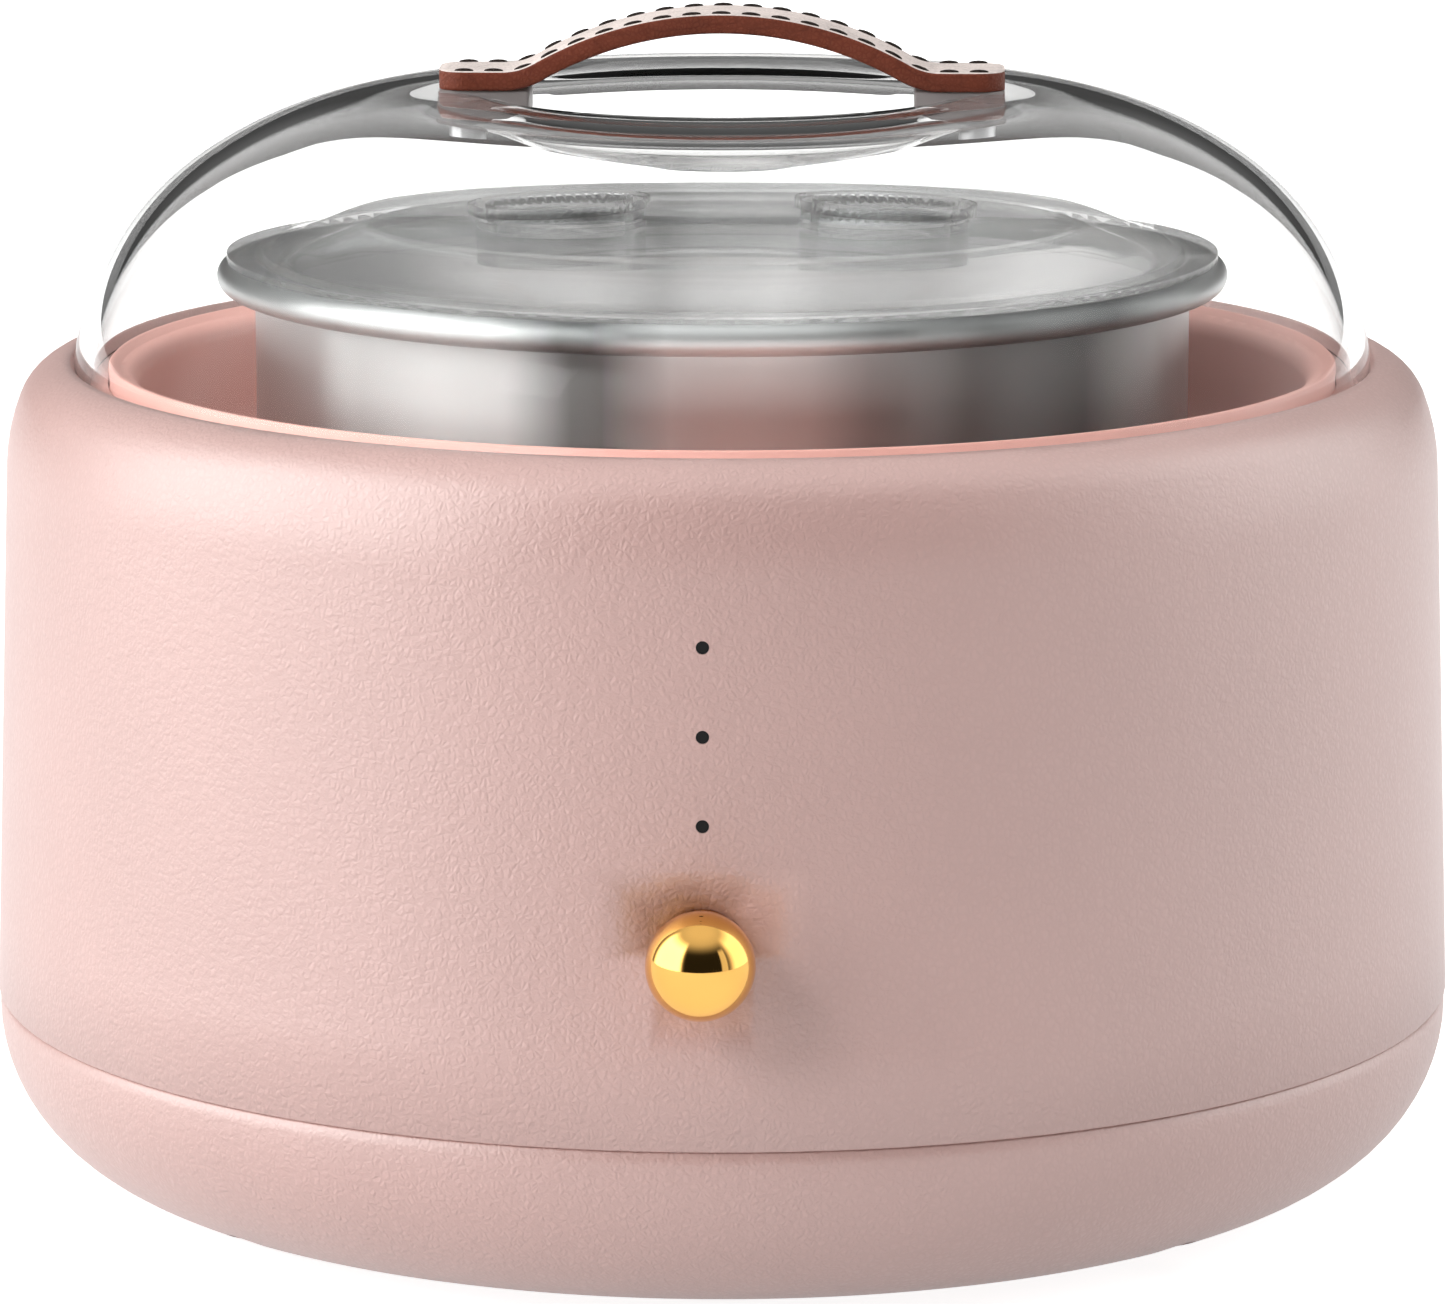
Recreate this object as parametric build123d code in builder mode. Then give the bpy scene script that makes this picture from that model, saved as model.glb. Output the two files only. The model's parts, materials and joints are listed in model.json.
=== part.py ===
"""Wax warmer pot: a heated casing, a lift-out wax pot, a splash lid and a clear dome cover.

Millimetres, +Z up. The origin is on the table, on the axis of the casing. The front, with the
button and the three level lights, faces -Y. The strap handle runs along X.
"""
import os
from math import asin, cos, degrees, radians, sin, sqrt

from build123d import *

os.makedirs("parts", exist_ok=True)

# ---------------------------------------------------------------- overall sizes
seam_z = 24.2               # joint between the lower and the upper casing
seam_radius = 92.2          # widest place of the casing
wall_top_z = 91.0           # top of the tapered wall, where the shoulder starts
wall_top_radius = 90.0
wall = 2.5                  # casing wall thickness
base_z = 1.5                # underside of the lower casing, held up by the feet
base_flat_radius = 71.0
base_corner_radius = 21.0
shoulder_large_radius = 25.0
shoulder_large_sweep = 20.0
shoulder_small_radius = 7.2
lip_sweep_end = 86.0        # angle at which the shoulder meets the cover seat
taper = (seam_radius - wall_top_radius) / (wall_top_z - seam_z)
taper_angle = degrees(asin(taper))


def wall_radius(z):
    """Outer radius of the tapered wall at height z."""
    return seam_radius - taper * (z - seam_z)


# shoulder: a large arc, then a small one that turns over the lip
lean_1 = taper_angle
lean_2 = taper_angle + shoulder_large_sweep
shoulder_centre_1 = (
    wall_top_radius - shoulder_large_radius * cos(radians(lean_1)),
    wall_top_z - shoulder_large_radius * sin(radians(lean_1)),
)
radius_step = shoulder_large_radius - shoulder_small_radius
shoulder_centre_2 = (
    shoulder_centre_1[0] + radius_step * cos(radians(lean_2)),
    shoulder_centre_1[1] + radius_step * sin(radians(lean_2)),
)
crest_z = shoulder_centre_2[1] + shoulder_small_radius

# ---------------------------------------------------------------- seat for the cover
seat_outer_radius = shoulder_centre_2[0] + 0.17
seat_inner_radius = seat_outer_radius - 4.7
seat_z = crest_z - 2.0      # floor of the channel that takes the foot of the cover
seat_gap = 0.25

# ---------------------------------------------------------------- bezel around the well
rib_inner_radius = seat_inner_radius - 0.4
bowl_radius = 11.0          # round fall of the bezel towards the pot
bowl_centre = (seat_inner_radius - 14.8, crest_z - 11.0)
bezel_floor_z = bowl_centre[1] - bowl_radius
bezel_under_z = bezel_floor_z - wall
bezel_skirt_radius = bowl_centre[0] + bowl_radius + wall
bezel_foot_radius = bowl_centre[0] + 9.3

# ---------------------------------------------------------------- wax pot and heating well
pot_radius = 58.6
pot_wall = 0.8
pot_corner_radius = 6.0
bead_radius = 1.9           # rolled rim
bead_reach = 2.8            # rim centre outside the pot wall
bead_z = crest_z + 10.5
pot_bottom_z = bead_z - 71.0
pot_seat_gap = 0.1
well_gap = 1.0              # air between pot and well
well_wall = 1.0
well_floor = 1.2
well_radius = pot_radius + well_gap
well_floor_z = pot_bottom_z - pot_seat_gap
seal_height = 1.0
flange_top_z = bezel_under_z - seal_height
flange_radius = bowl_centre[0] + 8.8
well_screw_ring = bowl_centre[0] + 5.3

# ---------------------------------------------------------------- heater
heater_radius = 50.0
heater_height = 5.0
heater_top_z = well_floor_z - well_floor
heater_under_z = heater_top_z - heater_height
tube_ring_radius = 36.0
tube_radius = 3.2
clamp_z = heater_under_z - tube_radius
stud_radius = 2.5
terminal_angle = 25.0       # each cold end of the tube lies this far from +Y

# ---------------------------------------------------------------- insulation and shield
sleeve_inner_radius = well_radius + well_wall + 0.4
sleeve_outer_radius = sleeve_inner_radius + 4.0
shield_z = 22.0
shield_radius = 58.0
shield_post_ring = 50.0

# ---------------------------------------------------------------- button and lights
light_pitch = 10.4
light_mid_z = 73.0
light_levels = [light_mid_z - light_pitch, light_mid_z, light_mid_z + light_pitch]
light_radius = 0.75
button_z = 48.2
ball_radius = 6.35
ball_reach = 8.2            # ball centre outside the casing wall
button_travel = 1.5
stem_radius = 2.0
button_wall_y = -wall_radius(button_z)
ball_y = button_wall_y - ball_reach
board_y = -80.0             # front face of the control board
bush_face_y = button_wall_y + 0.3

# ---------------------------------------------------------------- power board and inlet
board_z = 10.0
board_length = 70.0
board_depth = 50.0
board_thickness = 1.6
inlet_z = 36.0
inlet_face_y = wall_radius(inlet_z) - 0.9

# ---------------------------------------------------------------- fixings
post_ring = 78.0
post_split_z = 30.0
foot_ring = 58.0
foot_radius = 7.0

# ---------------------------------------------------------------- splash lid
lid_z = bead_z + bead_radius + 0.05
lid_radius = pot_radius + 3.47
lid_wall = 1.6
plateau_radius = 46.5
plateau_z = lid_z + 5.2
spout_place = 20.5
spout_outer_radius = 10.65
spout_inner_radius = 9.3
spout_lip_radius = 11.5
spout_tilt = 3.0
spout_top_z = plateau_z + 2.15

# ---------------------------------------------------------------- dome cover
cover_wall = 2.5
cover_foot_radius = seat_outer_radius - seat_gap
cover_foot_z = seat_z + 0.1
cover_lean = 9.454          # lean of the side where it leaves the foot, degrees
cover_side_radius = 36.193
cover_side_sweep = 45.607
cover_top_radius = 50.305
cover_side_z = cover_foot_z + 2.55
cover_side_start = cover_foot_radius - 0.12
cover_side_centre = (
    cover_side_start - cover_side_radius * cos(radians(cover_lean)),
    cover_side_z - cover_side_radius * sin(radians(cover_lean)),
)
cover_join = cover_lean + cover_side_sweep
cover_step = cover_side_radius - cover_top_radius
cover_top_centre = (
    cover_side_centre[0] + cover_step * cos(radians(cover_join)),
    cover_side_centre[1] + cover_step * sin(radians(cover_join)),
)
cover_top_z = cover_top_centre[1] + cover_top_radius

# finger dish in the top of the cover
dish_radius = 27.8
dish_bottom_z = cover_top_z - 7.25
dish_floor_radius = 75.0
dish_floor_reach = 18.0
dish_wall = 2.0

# ---------------------------------------------------------------- strap handle
strap_half_length = 35.3
strap_pad = 8.0
strap_width = 12.0
strap_thickness = 2.45
strap_core_thickness = 0.8
strap_core_width = 8.0
strap_under_z = cover_top_z + 0.12
strap_crown_radius = 45.0
strap_rise = 7.59
strap_run = strap_half_length - strap_pad
block_length = 11.3
block_width = 11.0
block_height = 3.3
strap_screw_x = strap_half_length - 3.6


def turned(*points):
    """Turn a closed profile of (radius, height) corners about the vertical axis."""
    with BuildSketch(Plane.XZ) as profile:
        with BuildLine():
            Polyline(*points, close=True)
        make_face()
    revolve(profile.sketch, axis=Axis.Z)


def disc(radius, bottom, top, mode=Mode.ADD):
    """Round disc or hole between two heights, at the active locations."""
    with Locations((0, 0, bottom)):
        Cylinder(radius, top - bottom, align=(Align.CENTER, Align.CENTER, Align.MIN), mode=mode)


def rod_y(radius, x, z, near, far, mode=Mode.ADD):
    """Round rod or hole along Y between near and far."""
    near, far = sorted((near, far))
    with Locations(Location((x, near, z), (-90, 0, 0))):
        Cylinder(radius, far - near, align=(Align.CENTER, Align.CENTER, Align.MIN), mode=mode)


def lead(radius, bend, *points):
    """Insulated wire along a route with rounded bends."""
    with BuildLine() as route:
        FilletPolyline(*points, radius=bend)
    with BuildSketch(Plane(origin=route.line @ 0, z_dir=route.line % 0)) as section:
        Circle(radius)
    sweep(section.sketch, path=route.line)


def cross_slot(width, bottom, depth):
    """Cross recess in the underside of a screw head."""
    with Locations((0, 0, bottom)):
        Box(width, 0.7, depth, align=(Align.CENTER, Align.CENTER, Align.MIN), mode=Mode.SUBTRACT)
        Box(0.7, width, depth, align=(Align.CENTER, Align.CENTER, Align.MIN), mode=Mode.SUBTRACT)


def on_corners(ring):
    """Four places on a ring, at 45 degrees to the axes."""
    return PolarLocations(ring, 4, start_angle=45)


def save(item, name):
    item.part.label = name
    export_step(item.part, "parts/" + name + ".step")


# ================================================================ casing
with BuildPart() as upper_casing:
    with BuildSketch(Plane.XZ):
        with BuildLine():
            outer_wall = Line((seam_radius - 0.02, seam_z + 0.35), (wall_top_radius, wall_top_z))
            outer_1 = CenterArc(shoulder_centre_1, shoulder_large_radius, lean_1, shoulder_large_sweep)
            outer_2 = CenterArc(shoulder_centre_2, shoulder_small_radius, lean_2, lip_sweep_end - lean_2)
            Polyline(
                outer_2 @ 1,
                (seat_outer_radius, crest_z - 0.3),
                (seat_outer_radius, seat_z),
                (seat_inner_radius + seat_gap, seat_z),
                (seat_inner_radius + seat_gap, seat_z - wall),
            )
            under_lean = degrees(asin((seat_z - wall - shoulder_centre_2[1]) / (shoulder_small_radius - wall)))
            inner_2 = CenterArc(shoulder_centre_2, shoulder_small_radius - wall, lean_2, under_lean - lean_2)
            Line((seat_inner_radius + seat_gap, seat_z - wall), inner_2 @ 1)
            inner_1 = CenterArc(shoulder_centre_1, shoulder_large_radius - wall, lean_1, shoulder_large_sweep)
            inner_wall = Line(inner_1 @ 0, (seam_radius - wall, seam_z))
            Polyline(inner_wall @ 1, (seam_radius - 0.35, seam_z), (seam_radius - 0.02, seam_z + 0.35))
        make_face()
    revolve(axis=Axis.Z)
    # screw posts, each tied to the wall by a web
    with on_corners(post_ring):
        disc(4.0, post_split_z, 66.0)
        with Locations((7.5, 0, post_split_z)):
            Box(9.0, 2.0, 36.0, align=(Align.CENTER, Align.CENTER, Align.MIN))
    with on_corners(post_ring):
        disc(1.5, post_split_z, 45.0, Mode.SUBTRACT)
    # bosses that carry the control board behind the front wall
    for x in (-9.0, 9.0):
        for z in (40.0, 90.0):
            rod_y(2.5, x, z, board_y, 0.8 - sqrt(wall_radius(z) ** 2 - x * x))
            rod_y(1.0, x, z, board_y, board_y - 6.0, Mode.SUBTRACT)
    # light windows, button hole with its flat, and the inlet opening
    for z in light_levels:
        rod_y(light_radius + 0.03, 0, z, -seam_radius - 1, board_y - 1, Mode.SUBTRACT)
    rod_y(5.2, 0, button_z, -seam_radius - 1, bush_face_y, Mode.SUBTRACT)
    rod_y(4.05, 0, button_z, bush_face_y, board_y - 1, Mode.SUBTRACT)
    with BuildSketch(Plane(origin=(0, inlet_face_y, inlet_z), x_dir=(1, 0, 0), z_dir=(0, 1, 0))):
        RectangleRounded(25.0, 15.0, 2.5)
    extrude(amount=4.0, mode=Mode.SUBTRACT)
    with BuildSketch(Plane(origin=(0, inlet_face_y, inlet_z), x_dir=(1, 0, 0), z_dir=(0, 1, 0))):
        SlotOverall(20.4, 10.9)
    extrude(amount=-6.0, mode=Mode.SUBTRACT)
save(upper_casing, "upper_casing")

base_wall_radius = base_corner_radius - wall
spigot_outer = wall_radius(post_split_z - 2) - wall - 0.25
spigot_inner = spigot_outer - 1.7
spigot_foot = base_flat_radius + base_wall_radius * cos(radians(15))
with BuildPart() as lower_casing:
    with BuildSketch(Plane.XZ):
        with BuildLine():
            Line((0, base_z), (base_flat_radius, base_z))
            corner = CenterArc((base_flat_radius, base_z + base_corner_radius), base_corner_radius, -90, 90)
            inner_corner = CenterArc(
                (base_flat_radius, base_z + base_corner_radius), base_wall_radius, -90, 75)
            Polyline(
                corner @ 1,
                (seam_radius - 0.3, seam_z - 0.35),
                (seam_radius - 0.65, seam_z),
                (spigot_outer, seam_z),
                (spigot_outer, post_split_z - 2),
                (spigot_inner, post_split_z - 2),
                (spigot_inner, seam_z - 3),
                inner_corner @ 1,
            )
            Polyline(inner_corner @ 0, (0, base_z + wall), (0, base_z))
        make_face()
    revolve(axis=Axis.Z)
    with on_corners(post_ring):
        disc(5.0, base_z + wall + 1.5, post_split_z)
    with on_corners(post_ring):
        disc(3.5, 0, post_split_z - 6, Mode.SUBTRACT)
        disc(1.8, 0, post_split_z, Mode.SUBTRACT)
    with on_corners(shield_post_ring):
        disc(3.5, base_z + 1, shield_z)
        disc(1.2, base_z + wall, shield_z, Mode.SUBTRACT)
    with GridLocations(board_length - 8, board_depth - 8, 2, 2):
        disc(3.0, base_z + 1, board_z)
        disc(1.2, base_z + wall, board_z, Mode.SUBTRACT)
    # pockets for the feet and a shallow recess for a rating label
    with on_corners(foot_ring):
        disc(foot_radius, 0, base_z + 1.0, Mode.SUBTRACT)
    disc(foot_radius, 0, base_z + 1.0, Mode.SUBTRACT)
    with BuildSketch(Plane.XY.offset(base_z)):
        with Locations((0, 30)):
            RectangleRounded(50, 28, 3)
    extrude(amount=0.3, mode=Mode.SUBTRACT)
save(lower_casing, "lower_casing")

with BuildPart() as bezel:
    with BuildSketch(Plane.XZ):
        with BuildLine():
            bowl = CenterArc(bowl_centre, bowl_radius, -90, 90)
            brow = ThreePointArc(
                (bowl_centre[0] + bowl_radius, crest_z - 3.3),
                (bowl_centre[0] + bowl_radius + 0.75, crest_z - 1.55),
                (bowl_centre[0] + bowl_radius + 2.4, crest_z - 0.75),
            )
            Line(bowl @ 1, brow @ 0)
            Polyline(
                brow @ 1,
                (rib_inner_radius - 0.3, crest_z),
                (seat_inner_radius - 0.2, crest_z),
                (seat_inner_radius, crest_z - 0.2),
                (seat_inner_radius, seat_z - wall),
                (seat_outer_radius + 1.8, seat_z - wall),
                (seat_outer_radius + 1.8, seat_z - wall - 2.2),
                (bezel_skirt_radius, seat_z - wall - 2.2),
                (bezel_skirt_radius, bowl_centre[1] - 3.0),
                (bezel_foot_radius, bezel_under_z),
                (bowl_centre[0] - 0.8, bezel_under_z),
                (bowl_centre[0] - 0.8, bezel_floor_z - 0.5),
                (bowl_centre[0] - 0.3, bezel_floor_z),
                bowl @ 0,
            )
        make_face()
    revolve(axis=Axis.Z)
    with on_corners(well_screw_ring):
        disc(1.4, bezel_under_z, bezel_under_z + 3.2, Mode.SUBTRACT)
save(bezel, "bezel")

with BuildPart() as rubber_feet:
    with on_corners(foot_ring):
        disc(foot_radius, 0, base_z + 1.0)
    disc(foot_radius, 0, base_z + 1.0)
    chamfer(edges().group_by(Axis.Z)[0], length=0.5)
save(rubber_feet, "rubber_feet")

with BuildPart() as casing_screws:
    with on_corners(post_ring):
        disc(3.1, post_split_z - 8.4, post_split_z - 6)
        disc(1.5, post_split_z - 6, 42.0)
        cross_slot(4.0, post_split_z - 8.4, 1.2)
save(casing_screws, "casing_screws")

# ================================================================ heating well
with BuildPart() as heating_well:
    turned(
        (0, well_floor_z - well_floor),
        (well_radius - 4, well_floor_z - well_floor),
        (well_radius + well_wall, well_floor_z + 4),
        (well_radius + well_wall, flange_top_z - 1),
        (flange_radius, flange_top_z - 1),
        (flange_radius, flange_top_z),
        (well_radius + 0.6, flange_top_z),
        (well_radius, flange_top_z - 0.8),
        (well_radius, well_floor_z + 4.4),
        (well_radius - 4.4, well_floor_z),
        (0, well_floor_z),
    )
    disc(stud_radius, clamp_z - 6.4, heater_top_z)
    with on_corners(well_screw_ring):
        disc(1.7, flange_top_z - 1, flange_top_z, Mode.SUBTRACT)
save(heating_well, "heating_well")

with BuildPart() as well_seal:
    with BuildSketch(Plane.XY.offset(flange_top_z)):
        Circle(flange_radius)
        Circle(well_radius + 1.8, mode=Mode.SUBTRACT)
        with on_corners(well_screw_ring):
            Circle(1.7, mode=Mode.SUBTRACT)
    extrude(amount=seal_height)
save(well_seal, "well_seal")

with BuildPart() as well_screws:
    with on_corners(well_screw_ring):
        disc(2.8, flange_top_z - 2.8, flange_top_z - 1)
        disc(1.4, flange_top_z - 1, bezel_under_z + 3.0)
        cross_slot(3.6, flange_top_z - 2.8, 0.9)
save(well_screws, "well_screws")

# ================================================================ heater
ring_start = 90 + terminal_angle
ring_sweep = 360 - 2 * terminal_angle
end_places = [
    (tube_ring_radius * cos(radians(a)), tube_ring_radius * sin(radians(a)))
    for a in (90 - terminal_angle, 90 + terminal_angle)
]
leg_z = heater_under_z - 9.0
with BuildPart() as heating_ring:
    with BuildSketch(Plane.XZ.rotated((0, 0, ring_start))):
        with Locations((tube_ring_radius, heater_under_z)):
            Circle(tube_radius)
    revolve(axis=Axis.Z, revolution_arc=ring_sweep)
    for place in end_places:
        with Locations((place[0], place[1], heater_under_z)):
            Sphere(tube_radius)
        with Locations(place):
            disc(tube_radius, leg_z, heater_under_z)
save(heating_ring, "heating_ring")

with BuildPart() as heater_terminals:
    for place in end_places:
        with Locations((place[0], place[1], leg_z - 1.75)):
            Box(6.3, 0.8, 3.5)
save(heater_terminals, "heater_terminals")

with BuildPart() as heater_plate:
    disc(heater_radius, heater_under_z, heater_top_z)
    with BuildSketch(Plane.XZ.rotated((0, 0, ring_start))):
        with Locations((tube_ring_radius, heater_under_z)):
            Circle(tube_radius)
    revolve(axis=Axis.Z, revolution_arc=ring_sweep, mode=Mode.SUBTRACT)
    for place in end_places:
        with Locations((place[0], place[1], heater_under_z)):
            Sphere(tube_radius, mode=Mode.SUBTRACT)
    disc(stud_radius + 0.2, heater_under_z, heater_top_z, Mode.SUBTRACT)
save(heater_plate, "heater_plate")

with BuildPart() as heater_clamp:
    with BuildSketch(Plane.XY.offset(clamp_z - 2)):
        SlotOverall(84, 12)
        Circle(stud_radius + 0.2, mode=Mode.SUBTRACT)
    extrude(amount=2)
save(heater_clamp, "heater_clamp")

with BuildPart() as clamp_nut:
    with BuildSketch(Plane.XY.offset(clamp_z - 5.6)):
        RegularPolygon(4.0, 6, major_radius=False)
        Circle(stud_radius, mode=Mode.SUBTRACT)
    extrude(amount=3.6)
save(clamp_nut, "clamp_nut")

with BuildPart() as thermal_cutout:
    with Locations((0, -20, 0)):
        disc(8.0, heater_under_z - 6.0, heater_under_z)
        disc(6.0, heater_under_z - 9.0, heater_under_z - 6.0)
    with Locations((-3.5, -20, heater_under_z - 11.0), (3.5, -20, heater_under_z - 11.0)):
        Box(0.8, 5.0, 4.0)
save(thermal_cutout, "thermal_cutout")

sensor_x = -55.0
sensor_bottom_z = heater_top_z - 8.0
with BuildPart() as temperature_sensor:
    with Locations((sensor_x, 0, 0)):
        disc(2.5, sensor_bottom_z, heater_top_z)
save(temperature_sensor, "temperature_sensor")

with BuildPart() as insulation_sleeve:
    with BuildSketch(Plane.XY.offset(well_floor_z + 5)):
        Circle(sleeve_outer_radius)
        Circle(sleeve_inner_radius, mode=Mode.SUBTRACT)
    extrude(amount=26)
save(insulation_sleeve, "insulation_sleeve")

with BuildPart() as heat_shield:
    with BuildSketch(Plane.XY.offset(shield_z)):
        Circle(shield_radius)
        with Locations((0, tube_ring_radius - 3.4)):
            RectangleRounded(46, 12, 3, mode=Mode.SUBTRACT)
        with on_corners(shield_post_ring):
            Circle(1.6, mode=Mode.SUBTRACT)
    extrude(amount=0.8)
save(heat_shield, "heat_shield")

with BuildPart() as shield_screws:
    with on_corners(shield_post_ring):
        disc(2.6, shield_z + 0.8, shield_z + 2.4)
        disc(1.2, shield_z - 7, shield_z + 0.8)
save(shield_screws, "shield_screws")

# ================================================================ power board
board_top_z = board_z + board_thickness
with BuildPart() as power_board:
    with BuildSketch(Plane.XY.offset(board_z)):
        RectangleRounded(board_length, board_depth, 3)
        with GridLocations(board_length - 8, board_depth - 8, 2, 2):
            Circle(1.4, mode=Mode.SUBTRACT)
    extrude(amount=board_thickness)
save(power_board, "power_board")

with BuildPart() as board_screws:
    with GridLocations(board_length - 8, board_depth - 8, 2, 2):
        disc(2.4, board_top_z, board_top_z + 1.5)
        disc(1.2, board_z - 5, board_top_z)
save(board_screws, "board_screws")

with BuildPart() as relay:
    with Locations((-18, -4, board_top_z + 4.6)):
        Box(19, 15.5, 9.2)
    fillet(edges().filter_by(Axis.Z), radius=0.8)
save(relay, "relay")

with BuildPart() as capacitor:
    with Locations((20, -6, board_top_z + 4.4)):
        Box(8, 18, 8.8)
    fillet(edges().filter_by(Axis.Z), radius=0.8)
save(capacitor, "capacitor")

block_y = 18.0
with BuildPart() as terminal_block:
    with Locations((0, block_y, board_top_z + 4.4)):
        Box(18, 8, 8.8)
    with Locations((-6, block_y, 0), (-2, block_y, 0), (2, block_y, 0), (6, block_y, 0)):
        disc(1.4, board_top_z + 6.8, board_top_z + 8.8, Mode.SUBTRACT)
save(terminal_block, "terminal_block")

with BuildPart() as board_sockets:
    with Locations((-31, 0, board_top_z + 2.5)):
        Box(5, 9, 5)
    with Locations((0, -22, board_top_z + 2.5)):
        Box(12, 5, 5)
    with Locations((0, board_y + board_thickness + 2.0, 41.0)):
        Box(12, 4, 6)
save(board_sockets, "board_sockets")

# ================================================================ mains inlet
cavity_depth = 11.0
inlet_front_y = inlet_face_y + 1.2
inlet_floor_y = inlet_front_y - cavity_depth
inlet_back_y = inlet_floor_y - 7.0
inlet_plane = Plane(origin=(0, inlet_face_y, inlet_z), x_dir=(1, 0, 0), z_dir=(0, 1, 0))
with BuildPart() as power_inlet:
    with BuildSketch(inlet_plane):
        RectangleRounded(24.0, 14.0, 2.0)
    extrude(amount=1.2)
    with BuildSketch(inlet_plane):
        SlotOverall(20.0, 10.5)
    extrude(amount=inlet_back_y - inlet_face_y)
    with BuildSketch(inlet_plane.offset(1.2)):
        SlotOverall(16.4, 8.6)
    extrude(amount=-cavity_depth, mode=Mode.SUBTRACT)
    for x in (-4.3, 4.3):
        rod_y(1.2, x, inlet_z, inlet_back_y, inlet_floor_y, Mode.SUBTRACT)
save(power_inlet, "power_inlet")

with BuildPart() as inlet_pins:
    for x in (-4.3, 4.3):
        rod_y(1.2, x, inlet_z, inlet_back_y - 4.0, inlet_front_y - 1.5)
    fillet(edges().group_by(Axis.Y)[-1], radius=0.8)
save(inlet_pins, "inlet_pins")

# ================================================================ control board
with BuildPart() as control_board:
    with BuildSketch(Plane(origin=(0, board_y, 65), x_dir=(1, 0, 0), z_dir=(0, 1, 0))):
        RectangleRounded(26, 60, 2)
    extrude(amount=board_thickness)
    for x in (-9.0, 9.0):
        for z in (40.0, 90.0):
            rod_y(1.3, x, z, board_y, board_y + board_thickness, Mode.SUBTRACT)
save(control_board, "control_board")

with BuildPart() as control_screws:
    for x in (-9.0, 9.0):
        for z in (40.0, 90.0):
            rod_y(1.0, x, z, board_y - 5.0, board_y + board_thickness)
            rod_y(2.0, x, z, board_y + board_thickness, board_y + board_thickness + 1.3)
save(control_screws, "control_screws")

with BuildPart() as level_lights:
    for z in light_levels:
        rod_y(1.5, 0, z, board_y - 4.2, board_y)
        rod_y(1.9, 0, z, board_y - 1.0, board_y)
save(level_lights, "level_lights")

with BuildPart() as light_pipes:
    for z in light_levels:
        inner_y = -wall_radius(z) + wall + 0.15
        rod_y(light_radius, 0, z, -wall_radius(z) + 0.1, inner_y)
        rod_y(1.8, 0, z, inner_y, inner_y + 1.4)
save(light_pipes, "light_pipes")

switch_front_y = board_y - 3.5
with BuildPart() as push_switch:
    with Locations((0, board_y - 1.75, button_z)):
        Box(6.0, 3.5, 6.0)
    rod_y(1.85, 0, button_z, switch_front_y, switch_front_y + 2.5, Mode.SUBTRACT)
save(push_switch, "push_switch")

# ================================================================ button
bush_back_y = button_wall_y + 4.0
spring_floor_y = bush_face_y - 0.8 + 3.0
with BuildPart() as button_bush:
    rod_y(4.75, 0, button_z, bush_face_y - 0.8, bush_face_y)
    rod_y(4.0, 0, button_z, bush_face_y, bush_back_y)
    rod_y(3.3, 0, button_z, bush_face_y - 0.8, spring_floor_y, Mode.SUBTRACT)
    rod_y(stem_radius + 0.05, 0, button_z, bush_face_y, bush_back_y, Mode.SUBTRACT)
save(button_bush, "button_bush")

with BuildPart() as bush_nut:
    with BuildSketch(Plane(origin=(0, bush_back_y - 1.2, button_z), x_dir=(1, 0, 0), z_dir=(0, 1, 0))):
        RegularPolygon(5.5, 6, major_radius=False)
        Circle(4.0, mode=Mode.SUBTRACT)
    extrude(amount=1.2)
save(bush_nut, "bush_nut")

ball_flat_y = ball_y + 5.36
stem_end_y = switch_front_y - button_travel - 0.1
clip_y = bush_back_y + 0.05
with BuildPart() as button_ball:
    with Locations((0, ball_y, button_z)):
        Sphere(ball_radius)
    split(bisect_by=Plane(origin=(0, ball_flat_y, 0), z_dir=(0, 1, 0)), keep=Keep.BOTTOM)
    rod_y(stem_radius, 0, button_z, ball_flat_y - 4.0, ball_flat_y, Mode.SUBTRACT)
save(button_ball, "button_ball")

with BuildPart() as button_stem:
    rod_y(stem_radius, 0, button_z, ball_flat_y - 4.0, stem_end_y)
    with BuildSketch(Plane(origin=(0, clip_y, button_z), x_dir=(1, 0, 0), z_dir=(0, 1, 0))):
        Circle(stem_radius)
        Circle(stem_radius - 0.4, mode=Mode.SUBTRACT)
    extrude(amount=0.6, mode=Mode.SUBTRACT)
save(button_stem, "button_stem")

with BuildPart() as stem_clip:
    with BuildSketch(Plane(origin=(0, clip_y, button_z), x_dir=(1, 0, 0), z_dir=(0, 1, 0))):
        Circle(3.6)
        Circle(stem_radius - 0.4, mode=Mode.SUBTRACT)
        with Locations((0, -3)):
            Rectangle(2 * (stem_radius - 0.45), 6, mode=Mode.SUBTRACT)
    extrude(amount=0.6)
save(stem_clip, "stem_clip")

with BuildPart() as switch_plunger:
    rod_y(1.75, 0, button_z, stem_end_y, switch_front_y + 0.5)
save(switch_plunger, "switch_plunger")

spring_wire = 0.3
spring_turn = 2.7
spring_length = spring_floor_y - ball_flat_y - 2 * spring_wire
with BuildPart() as button_spring:
    with BuildLine() as coil:
        Helix(
            pitch=spring_length / 4, height=spring_length, radius=spring_turn,
            center=(0, spring_floor_y - spring_wire, button_z), direction=(0, -1, 0))
    with BuildSketch(Plane(origin=coil.line @ 0, z_dir=coil.line % 0)):
        Circle(spring_wire)
    sweep(path=coil.line, is_frenet=True)
save(button_spring, "button_spring")

# ================================================================ inside wiring
with BuildPart() as inlet_leads:
    for x in (-4.3, 4.3):
        lead(1.1, 3.0,
             (x, inlet_back_y - 4.0, inlet_z), (x, 63.0, inlet_z),
             (x, 63.0, board_top_z + 3.0), (x, block_y + 4.0, board_top_z + 3.0))
save(inlet_leads, "inlet_leads")

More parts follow.
